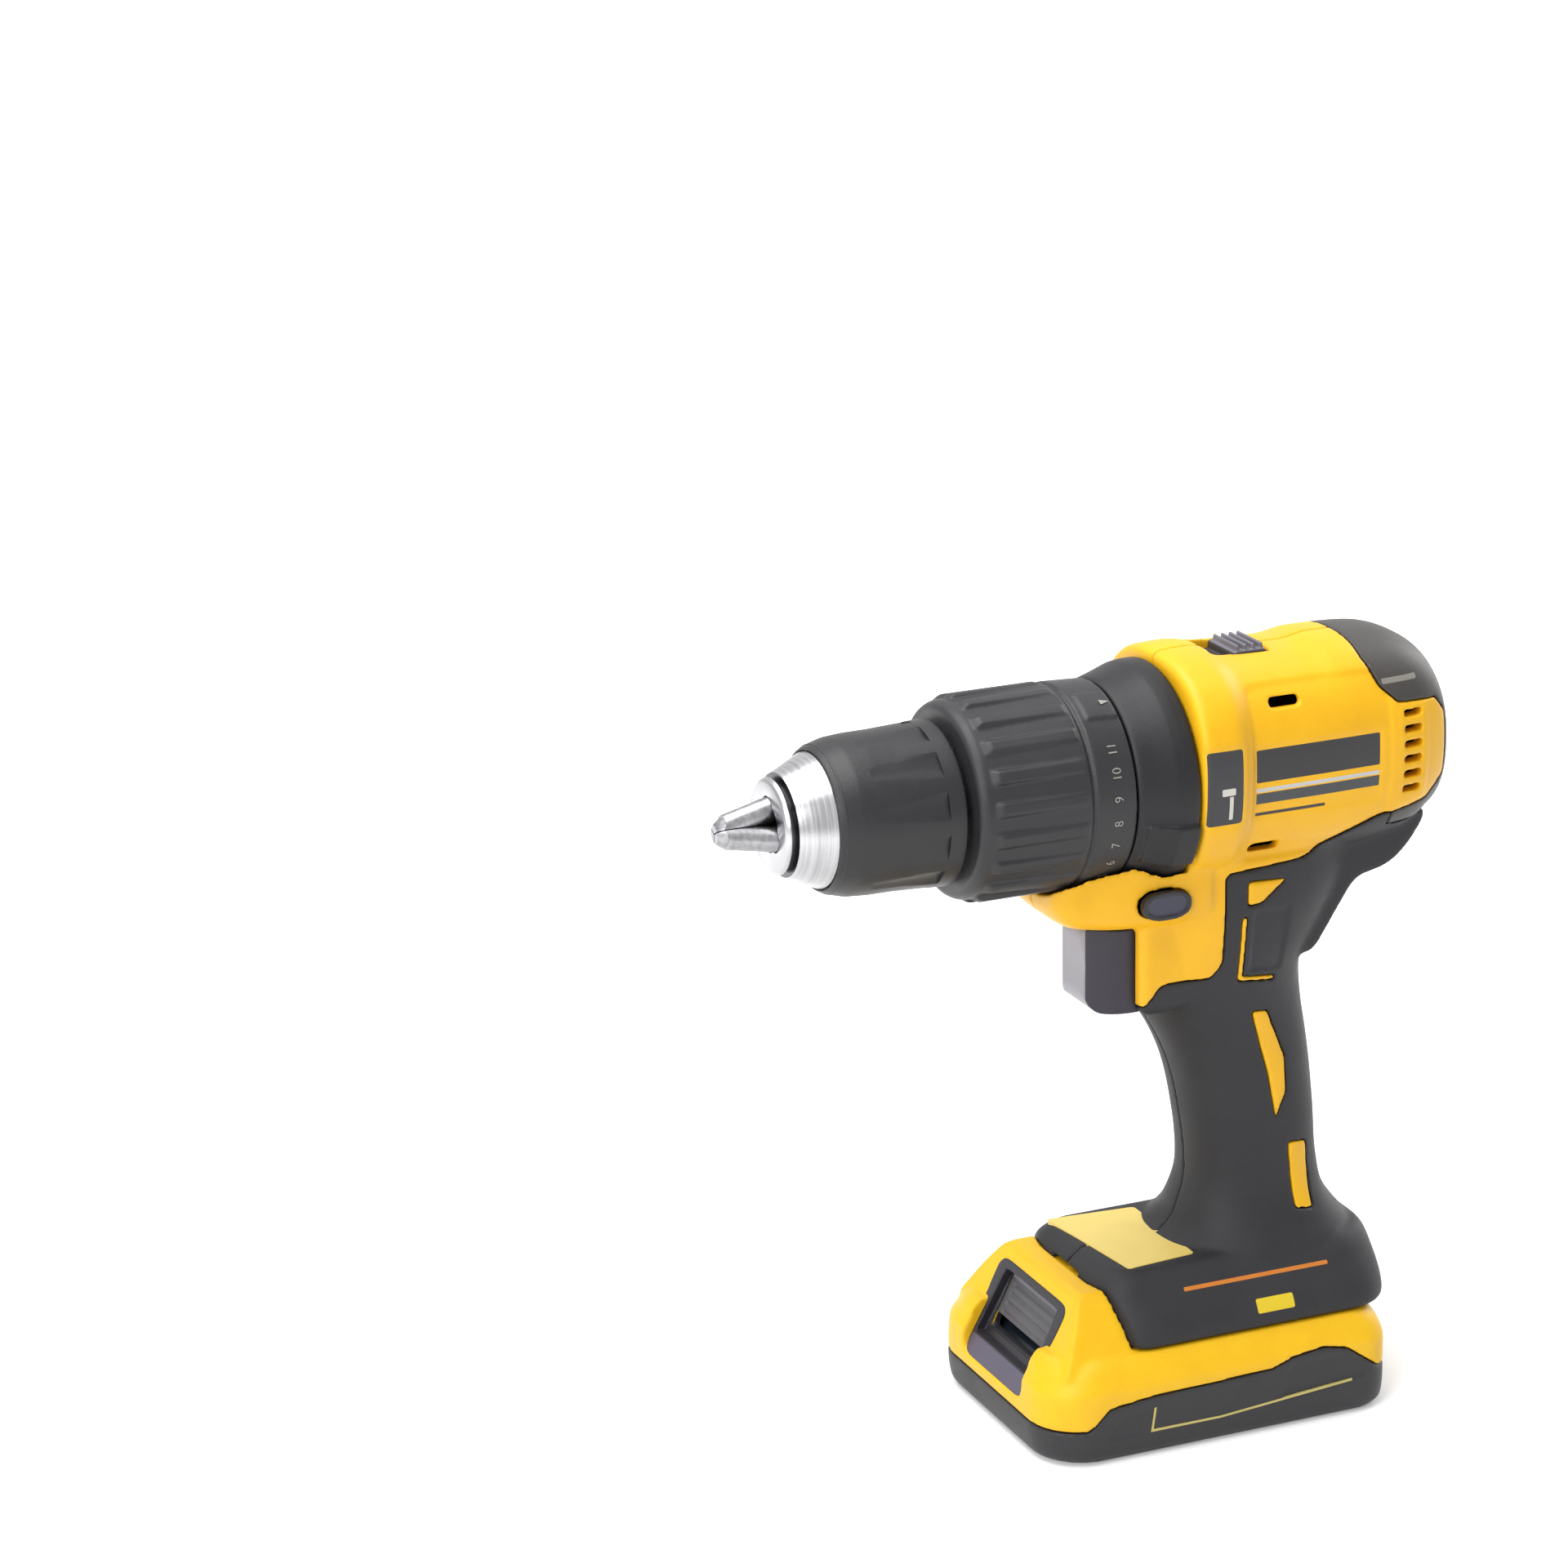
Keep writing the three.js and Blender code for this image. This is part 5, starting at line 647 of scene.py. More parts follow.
def foot(name, margin=0):
    """The foot with its bowed front, at its surface or larger by a margin."""
    stations = [(z + margin * (i < 3), front - margin, rear + margin, half + margin, *radii)
                for i, (z, front, rear, half, *radii) in enumerate(FOOT_STATIONS)]
    bow = circle(FOOT_NOSE + FOOT_BOW, 0, FOOT_BOW + margin, 180)
    return trim(loft_plan(name, stations), plan_prism("foot_bow", bow, -160, -120))


surface = loft_x("clamshell", BARREL_STATIONS, 2.5)
join(
    surface,
    loft_x("chin", CHIN_STATIONS, 5),
    loft_z("handle", HANDLE_STATIONS, 2.4),
    loft_plan("cheeks", CHEEK_STATIONS),
    side_prism("shelf", rounded(SHELF_OUTLINE, 3), -13.5, 13.5),
    foot("foot"),
)
soften(surface, 0.7, 14)

CAP_ZONE = [
    (53, 60), (52.6, 28), (55, 21.5), (59.5, 17.2), (72, 16.4), (75.6, 12), (75.6, -5), (70, -11),
    (59, -13.4), (59, -17.2), (120, -17.2), (120, 60),
]
GRIP_ZONE = rounded([
    (59.4, -13), (55, -13.4), (45, -18), (35, -23.2), (11.5, -24.6), (11.8, -49.5), (8.6, -53.7),
    (-5.5, -53.8), (-10, -60), (-60, -61), (-60, -190), (120, -190), (120, -17.6), (59.4, -17.6),
], 2, 4)
INLAY_ZONES = [
    [(18, -27.5), (29, -28), (22, -33.5), (18, -34)],
    [(16.5, -37), (17.6, -37), (17.6, -54.4), (28, -55.9), (28, -57), (16.5, -55.3)],
    [(22, -65.5), (26.5, -66), (32.5, -80), (33, -90), (30, -97), (27.5, -84)],
    [(34, -105), (40, -106), (40.5, -124), (35, -123)],
]
DIRECTION_PLACE = (-6.7, -29.6)
TRIGGER_HALF = 12.7


def collar_room():
    return turned("collar_room", [
        (-80, 0.01), (-80, 28.1), (-29.2, 28.1), (-27.2, 27.6), (-14.9, 27.6), (-11.9, 28.8),
        (-7.4, 30.6), (0, 30.6), (0, 0.01)])


def direction_outline(margin):
    oval = superellipse(7 + margin, 3.9 + margin, 2.4, 40)
    return [(x + DIRECTION_PLACE[0], z + DIRECTION_PLACE[1]) for x, z in oval]


VENT_COUNT, VENT_TOP, VENT_STEP = 6, 14, 4.1
VENT_HEIGHTS = [VENT_TOP - VENT_STEP * i for i in range(VENT_COUNT)]


def openings():
    """Cutters of everything that passes through the clamshell and its overmould."""
    tools = [
        collar_room(), rod("case_room", 24.1, -1, 17),
        block("trigger_room", -60, 2, -TRIGGER_HALF - GAP, TRIGGER_HALF + GAP, -62.4, -38.1),
        block("selector_slot", 13.7, 30.7, -7.8, 7.8, 24, 60),
        side_prism("direction_hole", direction_outline(GAP)),
        front_prism("tower_room", [
            (-20.3, -152.3), (20.3, -152.3), (20.3, -146), (25.3, -146), (25.3, -143.4),
            (18.8, -136.3), (-18.8, -136.3), (-25.3, -143.4), (-25.3, -146),
            (-20.3, -146)], -60, 52),
        block("latch_channel", -60, -8.7, -7.3, 7.3, -137.6, -135.1),
        block("wire_way", 40, 48, -5, 5, -137.6, -120),
    ]
    vents = [("vent", 60.6, 66.4, z, 1, 0.6, 3) for z in VENT_HEIGHTS]
    side_slots = [("side_slot", 22.3, 31.3, 21, 1.3, 1.2, 4),
                  ("side_slot", 17, 26, -17.6, 1.3, 1.2, 4)]
    for name, x0, x1, z, half, corner, steps in vents + side_slots:
        outline = rounded(oblong(x0, x1, z - half, z + half), corner, steps)
        tools += [side_prism(name, outline, -40, -17), side_prism(name, outline, 17, 40)]
    return tools


def hollow():
    """Cutters of the rooms for the motor, the switch and the handle."""
    motor_room = loft_x("motor_room", [
        (2.4, 24.6, 28.6, -22.8), (54, 24.6, 28.6, -22.8), (81, 16, 12.6, -11)], 3, 48, 4)
    switch_room = side_prism("switch_room", [
        (-8.5, -18), (30, -18), (30, -60), (4, -62), (-5, -57.5), (-8.5, -50)], -11.6, 11.6)
    handle_room = side_prism("handle_room", [
        (-4, -18), (50, -18), (44, -40), (37, -53), (37, -62), (41, -98), (42.8, -118), (43, -126),
        (19.5, -126), (18.2, -112), (17, -98), (13.5, -84), (8, -70), (0, -57)], -11.3, 11.3)
    return [motor_room, switch_room, handle_room]


# Where the five screws stand in the side view, and how deep the seats of their heads lie.
SCREW_PLACES = [(41.5, 25.4, 14), (9, -29.6, 13), (38, -29, 13), (15, -80, 9), (28, -123, 11)]
SCREW_ROOM = 3.3
PARTING = 0.12
SHELL_SIZE = 0.5
INLAY_CORNER = 0.6


def parted(skin, name, node, material):
    """Parts a skin into two halves, with screw rooms and a hollow, and settles both."""
    for side, y0, y1 in (("left", -80, -PARTING), ("right", PARTING, 80)):
        shell = trim(twin(skin, name + side), block("half", -80, 130, y0, y1, -200, 60))
        if side == "right":
            cut(shell, *[side_prism("screw_room", circle(x, z, SCREW_ROOM, 32), seat, 60)
                         for x, z, seat in SCREW_PLACES])
        soften(shell, SHELL_SIZE, 3)
        cut(shell, *hollow())
        smooth_within(shell, 40)
        settle(shell, material, "housing", node + side, node + side)
    bpy.data.objects.remove(skin)


yellow = twin(surface, "yellow_skin")
for zone, corner, depth, softness in (
        (oblong(15.6, 57, -21.5, 25.6), 3, 0.55, 1.5),
        (oblong(16, 54, -8.4, 10.9), 1, 0.4, 1.2),
        (oblong(0.4, 11.6, -8.4, 13), 1, 0.45, 1.2),
        ([(59, -12), (68.2, -10), (68.2, 15), (59, 15.6)], 1, -0.35, 1.6)):
    press(yellow, rounded(zone, corner), depth, softness)
cut(yellow, side_prism("grip_zone", offset(GRIP_ZONE, GAP)),
    side_prism("cap_zone", offset(CAP_ZONE, GAP)))
inlays = [rounded(outline, INLAY_CORNER, 3) for outline in INLAY_ZONES]
join(yellow, *[trim(twin(surface, "inlay"), side_prism("inlay_zone", inlay)) for inlay in inlays])
cut(yellow, *openings())
parted(yellow, "clamshell_", "housing_", yellow_nylon)

# ------------------------------------------------------------------------------------------------
# Overmould: a soft black rubber skin on the handle, the web and the foot, moulded onto the halves.
# It has a fine stipple, and carries a pale label pad on the deck of the foot.

rubber = printed(
    moulded("black rubber", (0.026, 0.026, 0.029), (0.016, 0.016, 0.019), (0.5, 0.66), 0.5, 2400.0,
        45.0, 0.32),
    ((0.62, 0.2, 0.03), ((18.5, 0, -136.4), (21.7, 60, 0.5), 0.3)),
    ((0.75, 0.55, 0.03), ((21.8, 0, -143.1), (5.6, 60, 1.8), 0.6)),
)
soft = twin(surface, "soft_skin")
press(soft, rounded([(19.6, -36), (30.6, -36), (29.8, -54), (19.6, -53)], 1), 0.6, 0.8)
trim(soft, side_prism("grip_zone", GRIP_ZONE))
cut(soft, side_prism("cap_zone", offset(CAP_ZONE, GAP)))
cut(soft, *[side_prism("inlay_zone", offset(inlay, 0.25)) for inlay in inlays])
cut(soft, *openings())
parted(soft, "overmould_", "grip_", rubber)

pad_film = moulded("label film", (0.9, 0.7, 0.2), (0.82, 0.62, 0.16), (0.4, 0.52), 0.1, 900.0,
    40.0, 0.4)
pad = plan_prism("label_pad", rounded([(-16, -19.6), (4.6, -17.8), (4.6, 17.6), (-20.8, 20)], 1.2),
    -132, -130.8)
smooth_within(pad, 30)
settle(pad, pad_film, "housing", "grip_left")

# ------------------------------------------------------------------------------------------------
# Rear cap: a dome moulded in dark nylon, which closes the barrel from behind. Inside it stands the
# socket of the motor's rear bearing.

dark_nylon = printed(
    moulded("dark nylon", (0.05, 0.045, 0.041), (0.034, 0.031, 0.029), (0.4, 0.55), 0.35,
        specular=0.4),
    ((0.22, 0.21, 0.18), ((61, 0, 22.6), (5.5, 60, 0.7), 0.4)),
)
SOCKET_RADIUS, BEARING_RADIUS = 7.8, 5.8


def smooth_all(obj):
    only(obj)
    bpy.ops.object.shade_smooth()
    return obj


cap = twin(surface, "cap_dome")
trim(cap, side_prism("cap_zone", CAP_ZONE))
cut(cap, loft_x("cap_room", [
    (2.4, 25.2, 29.4, -24), (58, 24.4, 28.6, -22.6), (71.5, 21.4, 25, -17.5), (77, 14, 14, -10),
], 2.5, 48, 6))
join(cap, trim(rod("socket", SOCKET_RADIUS, 63.5, 79),
               loft_x("socket_room", BARREL_STATIONS, 2.5)))
cut(cap, rod("bearing_seat", BEARING_RADIUS, 60, 68.3))
soften(cap, 0.45, 4)
smooth_all(cap)
settle(cap, dark_nylon, "housing", "rear_cap", "rear_cap")
bpy.data.objects.remove(surface)

# ------------------------------------------------------------------------------------------------
# Torque collar: a ring moulded in black nylon, ribbed for the hand, with a smooth rear band that
# carries the clutch numbers. It turns on the nose of the gear case.

COLLAR_FRONT, COLLAR_REAR, BAND_FRONT = -60.8, -17.3, -29.2


collar_plastic = moulded(
    "collar plastic", (0.021, 0.021, 0.024), (0.015, 0.015, 0.017), (0.4, 0.52), 0.3, specular=0.4)
collar = turned("collar_grip", [
    (COLLAR_FRONT, 0.01), (COLLAR_FRONT, 24.2), (COLLAR_FRONT + 0.7, 25.2),
    (COLLAR_FRONT + 2.2, 26), (BAND_FRONT - 1.2, 27), (BAND_FRONT - 0.6, 26.1), (BAND_FRONT, 26.1),
    (BAND_FRONT + 0.6, 27), (COLLAR_REAR, 26.5), (COLLAR_REAR, 0.01)])
RIB_COUNT = 20
RIB_SHAPE = ((25.8, -0.28), (27.45, -0.18), (27.45, 0.18), (25.8, 0.28))
rib_step = 2 * math.pi / RIB_COUNT
rib_corners = [(radius, (i + 0.5 + share) * rib_step)
               for i in range(RIB_COUNT) for radius, share in RIB_SHAPE]
rib_outline = [(radius * math.cos(angle), radius * math.sin(angle)) for radius, angle in rib_corners]
ribs = front_prism("ribs", rib_outline, COLLAR_FRONT + 4, BAND_FRONT - 1.8)
cut(ribs, rod("rib_bore", 25, -80, 0))
trim(ribs, turned("rib_ends", [
    (COLLAR_FRONT + 3, 20), (COLLAR_FRONT + 3, 25.8), (COLLAR_FRONT + 8, 29), (BAND_FRONT - 4, 29),
    (BAND_FRONT - 1.5, 26.4), (BAND_FRONT - 1.5, 20)]))


def sector(name, low, high, x0, x1):
    """A wedge on the left-hand side of the spindle axis, between two angles of rise."""
    reach = [(-60 * math.cos(math.radians(a)), 60 * math.sin(math.radians(a))) for a in (low, high)]
    return front_prism(name, [(0, 0), *reach], x0, x1)


POINTER_ANGLE = 63
pointer = trim(turned("pointer", [(-27.5, 25), (-26.6, 27.5), (-18.2, 27.3), (-18.2, 25)]),
               sector("pointer_sector", POINTER_ANGLE - 10, POINTER_ANGLE + 10, -30, -10))
join(collar, ribs, pointer)
soften(collar, 0.42, 6)
cut(collar, turned("collar_bore", [
    (COLLAR_FRONT - 1, 0.01), (COLLAR_FRONT - 1, 15.3), (COLLAR_FRONT + 3, 15.3),
    (COLLAR_FRONT + 3, 22.6), (-20.6, 22.6), (-20.6, 24.1), (COLLAR_REAR + 1, 24.1),
    (COLLAR_REAR + 1, 0.01)]))
smooth_within(collar, 40)
settle(collar, collar_plastic, "torque_collar", "torque_collar", "torque_collar")

# The clutch numbers 1 to 11 are printed on the band, and a small triangle on its raised pointer.
ink, ink_tree, ink_shader = new_material("pale ink")
ink_noise = add_node(ink_tree, "ShaderNodeTexNoise", {"Scale": 900})
ink_share = between(ink_tree, ink_noise.outputs["Fac"], 0, 1)
feed(ink_tree, ink_shader, {
    "Base Color": blend(ink_tree, ink_share, (0.24, 0.23, 0.2), (0.34, 0.32, 0.28)),
    "Roughness": 0.55})


def wrapped_text(name, words, size, x_middle, radius, angle_middle):
    """Words printed round the spindle axis, reading along the collar's turn."""
    bpy.ops.object.select_all(action="DESELECT")
    bpy.ops.object.text_add(location=(0, 0, 0))
    obj = bpy.context.object
    obj.name = name
    obj.data.body = words
    obj.data.size = size
    obj.data.align_x = "CENTER"
    obj.data.align_y = "CENTER"
    bpy.ops.object.convert(target="MESH")
    obj = bpy.context.object
    for vertex in obj.data.vertices:
        u, v = vertex.co.x, vertex.co.y
        angle = angle_middle + u / radius
        vertex.co = (x_middle - v, -radius * math.cos(angle), radius * math.sin(angle))
    return obj


def joined(name, objs):
    bpy.ops.object.select_all(action="DESELECT")
    for obj in objs:
        obj.select_set(True)
    bpy.context.view_layer.objects.active = objs[0]
    bpy.ops.object.join()
    result = bpy.context.object
    result.name = name
    return result


NUMBER_COUNT, NUMBER_STEP, NUMBER_SHIFT = 11, 14, 7.6
NUMBER_SIZE, NUMBER_X, NUMBER_RADIUS = 3.5, -22.6, 26.86
numbers = joined("clutch_numbers", [
    wrapped_text("number", str(i + 1), NUMBER_SIZE, NUMBER_X, NUMBER_RADIUS,
                 math.radians(NUMBER_STEP * (i - NUMBER_SHIFT))) for i in range(NUMBER_COUNT)])
MARKER_RADIUS = 27.6
marker = flat_face("pointer_mark", [(-21.4, -0.9, 0), (-21.4, 0.9, 0), (-18.8, 0, 0)])
for vertex in marker.data.vertices:
    angle = math.radians(POINTER_ANGLE) + vertex.co.y / 27.5
    vertex.co = (vertex.co.x, -MARKER_RADIUS * math.cos(angle), MARKER_RADIUS * math.sin(angle))
numbers = joined("clutch_numbers", [numbers, marker])
settle(numbers, ink, "torque_collar", "torque_collar")

# ------------------------------------------------------------------------------------------------
# Mode collar: a smooth ring of black nylon with a raised finger lug, which selects screwing,
# drilling or hammering. It turns between the torque collar and the clamshell.

mode = turned("mode_ring", [
    (-16.9, 24.1), (-16.9, 26.2), (-15.9, 26.8), (-11.9, 28), (-6.9, 29.7), (-4.5, 30), (-1.5, 30),
    (-0.5, 29.2), (-0.5, 27), (-9.9, 26), (-11.9, 24.1)])
lug = turned("mode_lug", [(-15.4, 25.6), (-14.4, 28.4), (-7.4, 31.4), (-1.1, 31.4), (-1.1, 28)])
trim(lug, sector("lug_sector", -35.8, -12.4, -17, 0))
join(mode, lug)
soften(mode, 0.42, 3)
smooth_all(mode)
ring_plastic = moulded(
    "ring nylon", (0.013, 0.013, 0.015), (0.009, 0.009, 0.011), (0.38, 0.5), 0.3, specular=0.3)
settle(mode, ring_plastic, "mode_collar", "mode_collar", "mode_collar")

# ------------------------------------------------------------------------------------------------
# Keyless chuck: a turned and plated steel body with a cone nose, under a black nylon sleeve. Three
# ground steel jaws slide in its slanting bores.


def metal(name, light, dark, rough, anisotropy=0.0, stretch=(1, 1, 1)):
    """A machined steel with faint turning marks."""
    material, tree, shader = new_material(name)
    place = add_node(tree, "ShaderNodeTexCoord")
    mapping = add_node(tree, "ShaderNodeMapping",
        {"Vector": place.outputs["Object"], "Scale": stretch})
    noise = add_node(tree, "ShaderNodeTexNoise",
        {"Vector": mapping.outputs["Vector"], "Scale": 900, "Detail": 4})
    marks = noise.outputs["Fac"]
    relief = add_node(tree, "ShaderNodeBump",
        {"Strength": 0.12, "Distance": 0.0001, "Height": marks})
    feed(tree, shader, {
        "Base Color": blend(tree, between(tree, marks, 0, 1), dark, light),
        "Roughness": between(tree, marks, *rough), "Normal": relief.outputs["Normal"],
        "Metallic": 1, "Anisotropic": anisotropy})
    return material


# The cone's groove is painted dark as painted shade, and a faint grey band round behind it is a
# painted reflection.
bright_steel = printed(
    metal("bright steel", (0.49, 0.49, 0.5), (0.37, 0.37, 0.385), (0.22, 0.32), 0.2,
        (2.2, 0.05, 0.05)),
    # Painted reflection: a faint grey band round the cone.
    ((0.36, 0.36, 0.37), ((-101.2, 0, 0), (0.35, 60, 60), 0.2)),
    # Painted shade: the groove is coloured dark where shade falls in it.
    ((0.07, 0.07, 0.075), ((-106.55, 0, 0), (0.95, 60, 60), 0.2)),
)
ground_steel = metal("ground steel", (0.36, 0.36, 0.37), (0.25, 0.25, 0.265), (0.28, 0.4))

JAW_ANGLE = math.radians(14)
JAW_TIP = -123.4
JAW_RADIUS, JAW_BORE = 3.2, 3.5


def spin_about_axis(obj, degrees):
    obj.data.transform(Matrix.Rotation(math.radians(degrees), 4, "X"))
    return obj


def along_jaw(obj):
    """Tilts a rod drawn along X onto the line of the first jaw."""
    obj.data.transform(Matrix.Translation((JAW_TIP, 0, 0.9)) @ Matrix.Rotation(-JAW_ANGLE, 4, "Y"))
    return obj


chuck = turned("chuck_cone", [
    (-108.8, 6.7), (-108.8, 11.4), (-108.55, 11.9), (-108.2, 12.25), (-107.4, 12.65),
    (-107.2, 11.6), (-105.9, 11.6), (-105.7, 13.5), (-96.9, 17.7), (-95.3, 17.7), (-95.3, 12.6),
    (-90.7, 12.6), (-90.7, 15), (-66.8, 15), (-66.3, 19.2), (-63.3, 19.2), (-63.3, 6.3),
    (-80.3, 6.3), (-80.3, 3.3), (-84, 3.3), (-84, 6.7)])
JAW_COUNT = 3
JAW_TURN = 360 // JAW_COUNT
for i in range(JAW_COUNT):
    cut(chuck, spin_about_axis(along_jaw(rod("jaw_bore", JAW_BORE, 8, 64, sides=48)), JAW_TURN * i))
smooth_within(chuck, 32)
settle(chuck, bright_steel, "spindle", "chuck_body", "chuck_body")

for i in range(JAW_COUNT):
    node = "jaw_%d" % (i + 1)
    jaw = along_jaw(rod("jaw", JAW_RADIUS, -6, 33.2, sides=64))
    trim(jaw, front_prism("wedge", [(0, 0.18), (104, 60), (-104, 60)], -126, -60))
    trim(jaw, turned("jaw_ends", [
        (JAW_TIP, 0.02), (JAW_TIP, 2.3), (JAW_TIP + 0.5, 2.9), (JAW_TIP + 2.2, 4.1),
        (JAW_TIP + 5, 20), (0, 40), (0, 0.02)], 96))
    spin_about_axis(jaw, JAW_TURN * i)
    jaw.name = node + "_ground"
    smooth_within(jaw, 30)
    settle(jaw, ground_steel, node, node, node)

sleeve_plastic = moulded(
    "sleeve nylon", (0.016, 0.016, 0.018), (0.011, 0.011, 0.013), (0.36, 0.48), 0.3, specular=0.4)
sleeve = turned("sleeve_grip", rounded([
    (-96.6, 18), (-96.6, 18.5), (-94.6, 19.5), (-90.5, 20.6), (-85, 21), (-78, 21.05),
    (-65.2, 21.7), (-62.7, 21.8), (-62.7, 19.5), (-95.3, 19.5), (-95.3, 18)], 0.7, 4), 192)
FLUTES, FLUTE_RADIUS, FLUTE_REACH = 12, 14, 34.75
cut(sleeve, *[spin_about_axis(rod("flute", FLUTE_RADIUS, -86.5, -67.5, FLUTE_REACH),
                              (i + 0.5) * 360 / FLUTES) for i in range(FLUTES)])
smooth_within(sleeve, 24)
settle(sleeve, sleeve_plastic, "chuck_sleeve", "chuck_sleeve", "chuck_sleeve")

# ------------------------------------------------------------------------------------------------
# Trigger, direction button and speed selector: small dark nylon mouldings that slide in openings of
# the clamshell.

trigger_outline = rounded([
    (-7.5, -38.4), (-22.2, -38.4), (-23.2, -40.9), (-22.4, -49.4), (-23, -57.8), (-20.6, -61.8),
    (-7.5, -61.8)],
    2, 6)
trigger_plan = rounded([
    (-6.5, -TRIGGER_HALF), (-6.5, TRIGGER_HALF), (-15.7, TRIGGER_HALF), (-23.3, 7.2), (-23.3, -7.2),
    (-15.7, -TRIGGER_HALF)], 4, 8)
trigger = side_prism("trigger_shoe", trigger_outline, -TRIGGER_HALF, TRIGGER_HALF)
trim(trigger, plan_prism("trigger_plan", trigger_plan, -64, -38))
join(trigger, block("trigger_stem", -10.5, 1.5, -4, 4, -51, -43))
soften(trigger, 0.35, 5)
smooth_all(trigger)
trigger_plastic = printed(
    moulded("trigger nylon", (0.026, 0.021, 0.035), (0.017, 0.014, 0.024), (0.36, 0.5), 0.25,
        specular=0.4),
    # Painted highlight: a pale grey strip down the trigger's front face, lighter than its sides.
    ((0.3, 0.29, 0.32), ((-22, 0, -50), (2.2, 6.8, 13), 0.8)),
)
settle(trigger, trigger_plastic, "trigger", "trigger", "trigger")

BUTTON_REACH = 23.2
button = side_prism("direction_caps", direction_outline(0), -BUTTON_REACH, BUTTON_REACH)
cut(button, block("over_bridge", -60, 60, -20.6, 20.6, -32, 60),
    rod("clear_left", 31.7, -60, 60, y=-3),
    rod("clear_right", 31.7, -60, 60, y=3))
soften(button, 0.3, 3)
press(button, direction_outline(-1.3), 0.35, 0.8)
smooth_all(button)
button_plastic = printed(
    moulded("button nylon", (0.014, 0.013, 0.018), (0.01, 0.009, 0.013), (0.34, 0.46), 0.25,
        specular=0.4),
    # Painted highlight: a bluish lighter patch in the middle of the button.
    ((0.035, 0.037, 0.06), ((DIRECTION_PLACE[0], 0, DIRECTION_PLACE[1]), (5.4, 60, 2.5), 2.4)),
)
settle(button, button_plastic, "direction_button", "direction_button", "direction_button")

# The speed slider is a ridged pad on a plate that keeps its slot covered and holds the shift fork.
plate_low, plate_high = [(corner - ORIGIN) * 1000 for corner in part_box("speed_button")]
fork_low, fork_high = [(corner - ORIGIN) * 1000 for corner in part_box("shift_fork")]
SLIDER_FRONT, SLIDER_REAR, SLIDER_HALF, PLATE_TOP = 20, 30.4, 7.5, 28.6
slider = block("speed_slider", plate_low.x, plate_high.x, plate_low.y, plate_high.y, plate_low.z,
    PLATE_TOP)
pad_side = rounded([
    (SLIDER_FRONT, PLATE_TOP - 1), (SLIDER_FRONT + 0.6, 31), (SLIDER_REAR - 0.6, 31),
    (SLIDER_REAR, PLATE_TOP - 1)],
    0.8, 4)
join(slider, side_prism("slider_pad", pad_side, -SLIDER_HALF, SLIDER_HALF))
RIDGE_COUNT, RIDGE_STEP = 4, 2.3
for i in range(RIDGE_COUNT):
    x = SLIDER_FRONT + 1.1 + RIDGE_STEP * i
    join(slider, side_prism("slider_ridge", rounded([
        (x, 30), (x + 0.3, plate_high.z), (x + 1.1, plate_high.z), (x + 1.5, 30)], 0.3, 3),
        1 - SLIDER_HALF, SLIDER_HALF - 1))
cut(slider, block("fork_slot", fork_low.x - GAP, fork_high.x + GAP, -3.3, 3.3, plate_low.z - 1,
    plate_low.z + 1.5))
soften(slider, 0.22, 3)
smooth_all(slider)
slider_plastic = printed(
    moulded("slider nylon", (0.17, 0.16, 0.19), (0.12, 0.115, 0.14), (0.36, 0.5), 0.25),
    # Painted light: the pad's top keeps the lighter grey as a painted sheen, and the plate and the
    # pad's sides round it are painted near-black as painted shade of the recess.
    ((0.03, 0.03, 0.034), ((25.2, 0, 31.8), (5.2, 7, 1.2), 0.2)), around=True)
settle(slider, slider_plastic, "speed_selector", "speed_button", "speed_button")

# ------------------------------------------------------------------------------------------------
# Battery: a yellow nylon cover with the tower that slides into the foot and a steep front block,
# on a dark nylon base. The two are screwed together from below, round the cells.

PACK_STATIONS = [
    (-177, -45, 53, 35, 14, 8), (-174.5, -46.9, 54.7, 36.9, 14, 8), (-168, -47.5, 55, 37.5, 14, 8),
    (-157.8, -47, 55, 37.5, 14, 8), (-154.8, -45.5, 54.6, 36.6, 14, 8),
    (-150.3, -43, 52.5, 33.5, 14, 8), (-149.3, -42, 51.5, 32.5, 14, 8),
]
PACK_WALL = 2.2
SEAM = [
    (-80, -167), (-36, -167), (-30, -161.5), (-18, -160.2), (18, -159.3), (24, -157.3),
    (34, -156.1), (41, -157.6), (47, -162), (51, -165), (80, -165),
]
FACE_TOP, FACE_FOOT = (-32.6, -136.3), (-45.3, -161)
BLOCK_BACK = -19
WINDOW_OUTLINE = [(-18.2, -163.4), (18.2, -163.4), (16.7, -139.3), (-16.7, -139.3)]
WINDOW_DEPTH = 3.4
PAD_HALF, PAD_LOW, PAD_HIGH, PAD_PROUD = 14.8, -152.5, -141.3, 2.6
RELEASE_TRAVEL = 3.5


def face_x(z):
    """How far forward the steep front face lies at a height."""
    forward = (FACE_FOOT[0] - FACE_TOP[0]) * (z - FACE_TOP[1])
    return FACE_TOP[0] + forward / (FACE_FOOT[1] - FACE_TOP[1])


def behind_face(name, low, high, near, far, half):
    """A slab that follows the steep face, between two depths behind it."""
    return side_prism(name, [
        (face_x(low) + near, low), (face_x(high) + near, high),
        (face_x(high) + far, high), (face_x(low) + far, low)], -half, half)


def window(name, margin, near, far):
    slab = behind_face(name, -170, -130, near, far, 30)
    return trim(slab, front_prism("window_outline", offset(rounded(WINDOW_OUTLINE, 4), margin),
        -80, 0))


def pack_body(name, grown=0.0):
    return loft_plan(name, [
        (z + (grown if z < -170 else 0), front - grown, rear + grown, half + grown, r0, r1)
        for z, front, rear, half, r0, r1 in PACK_STATIONS])


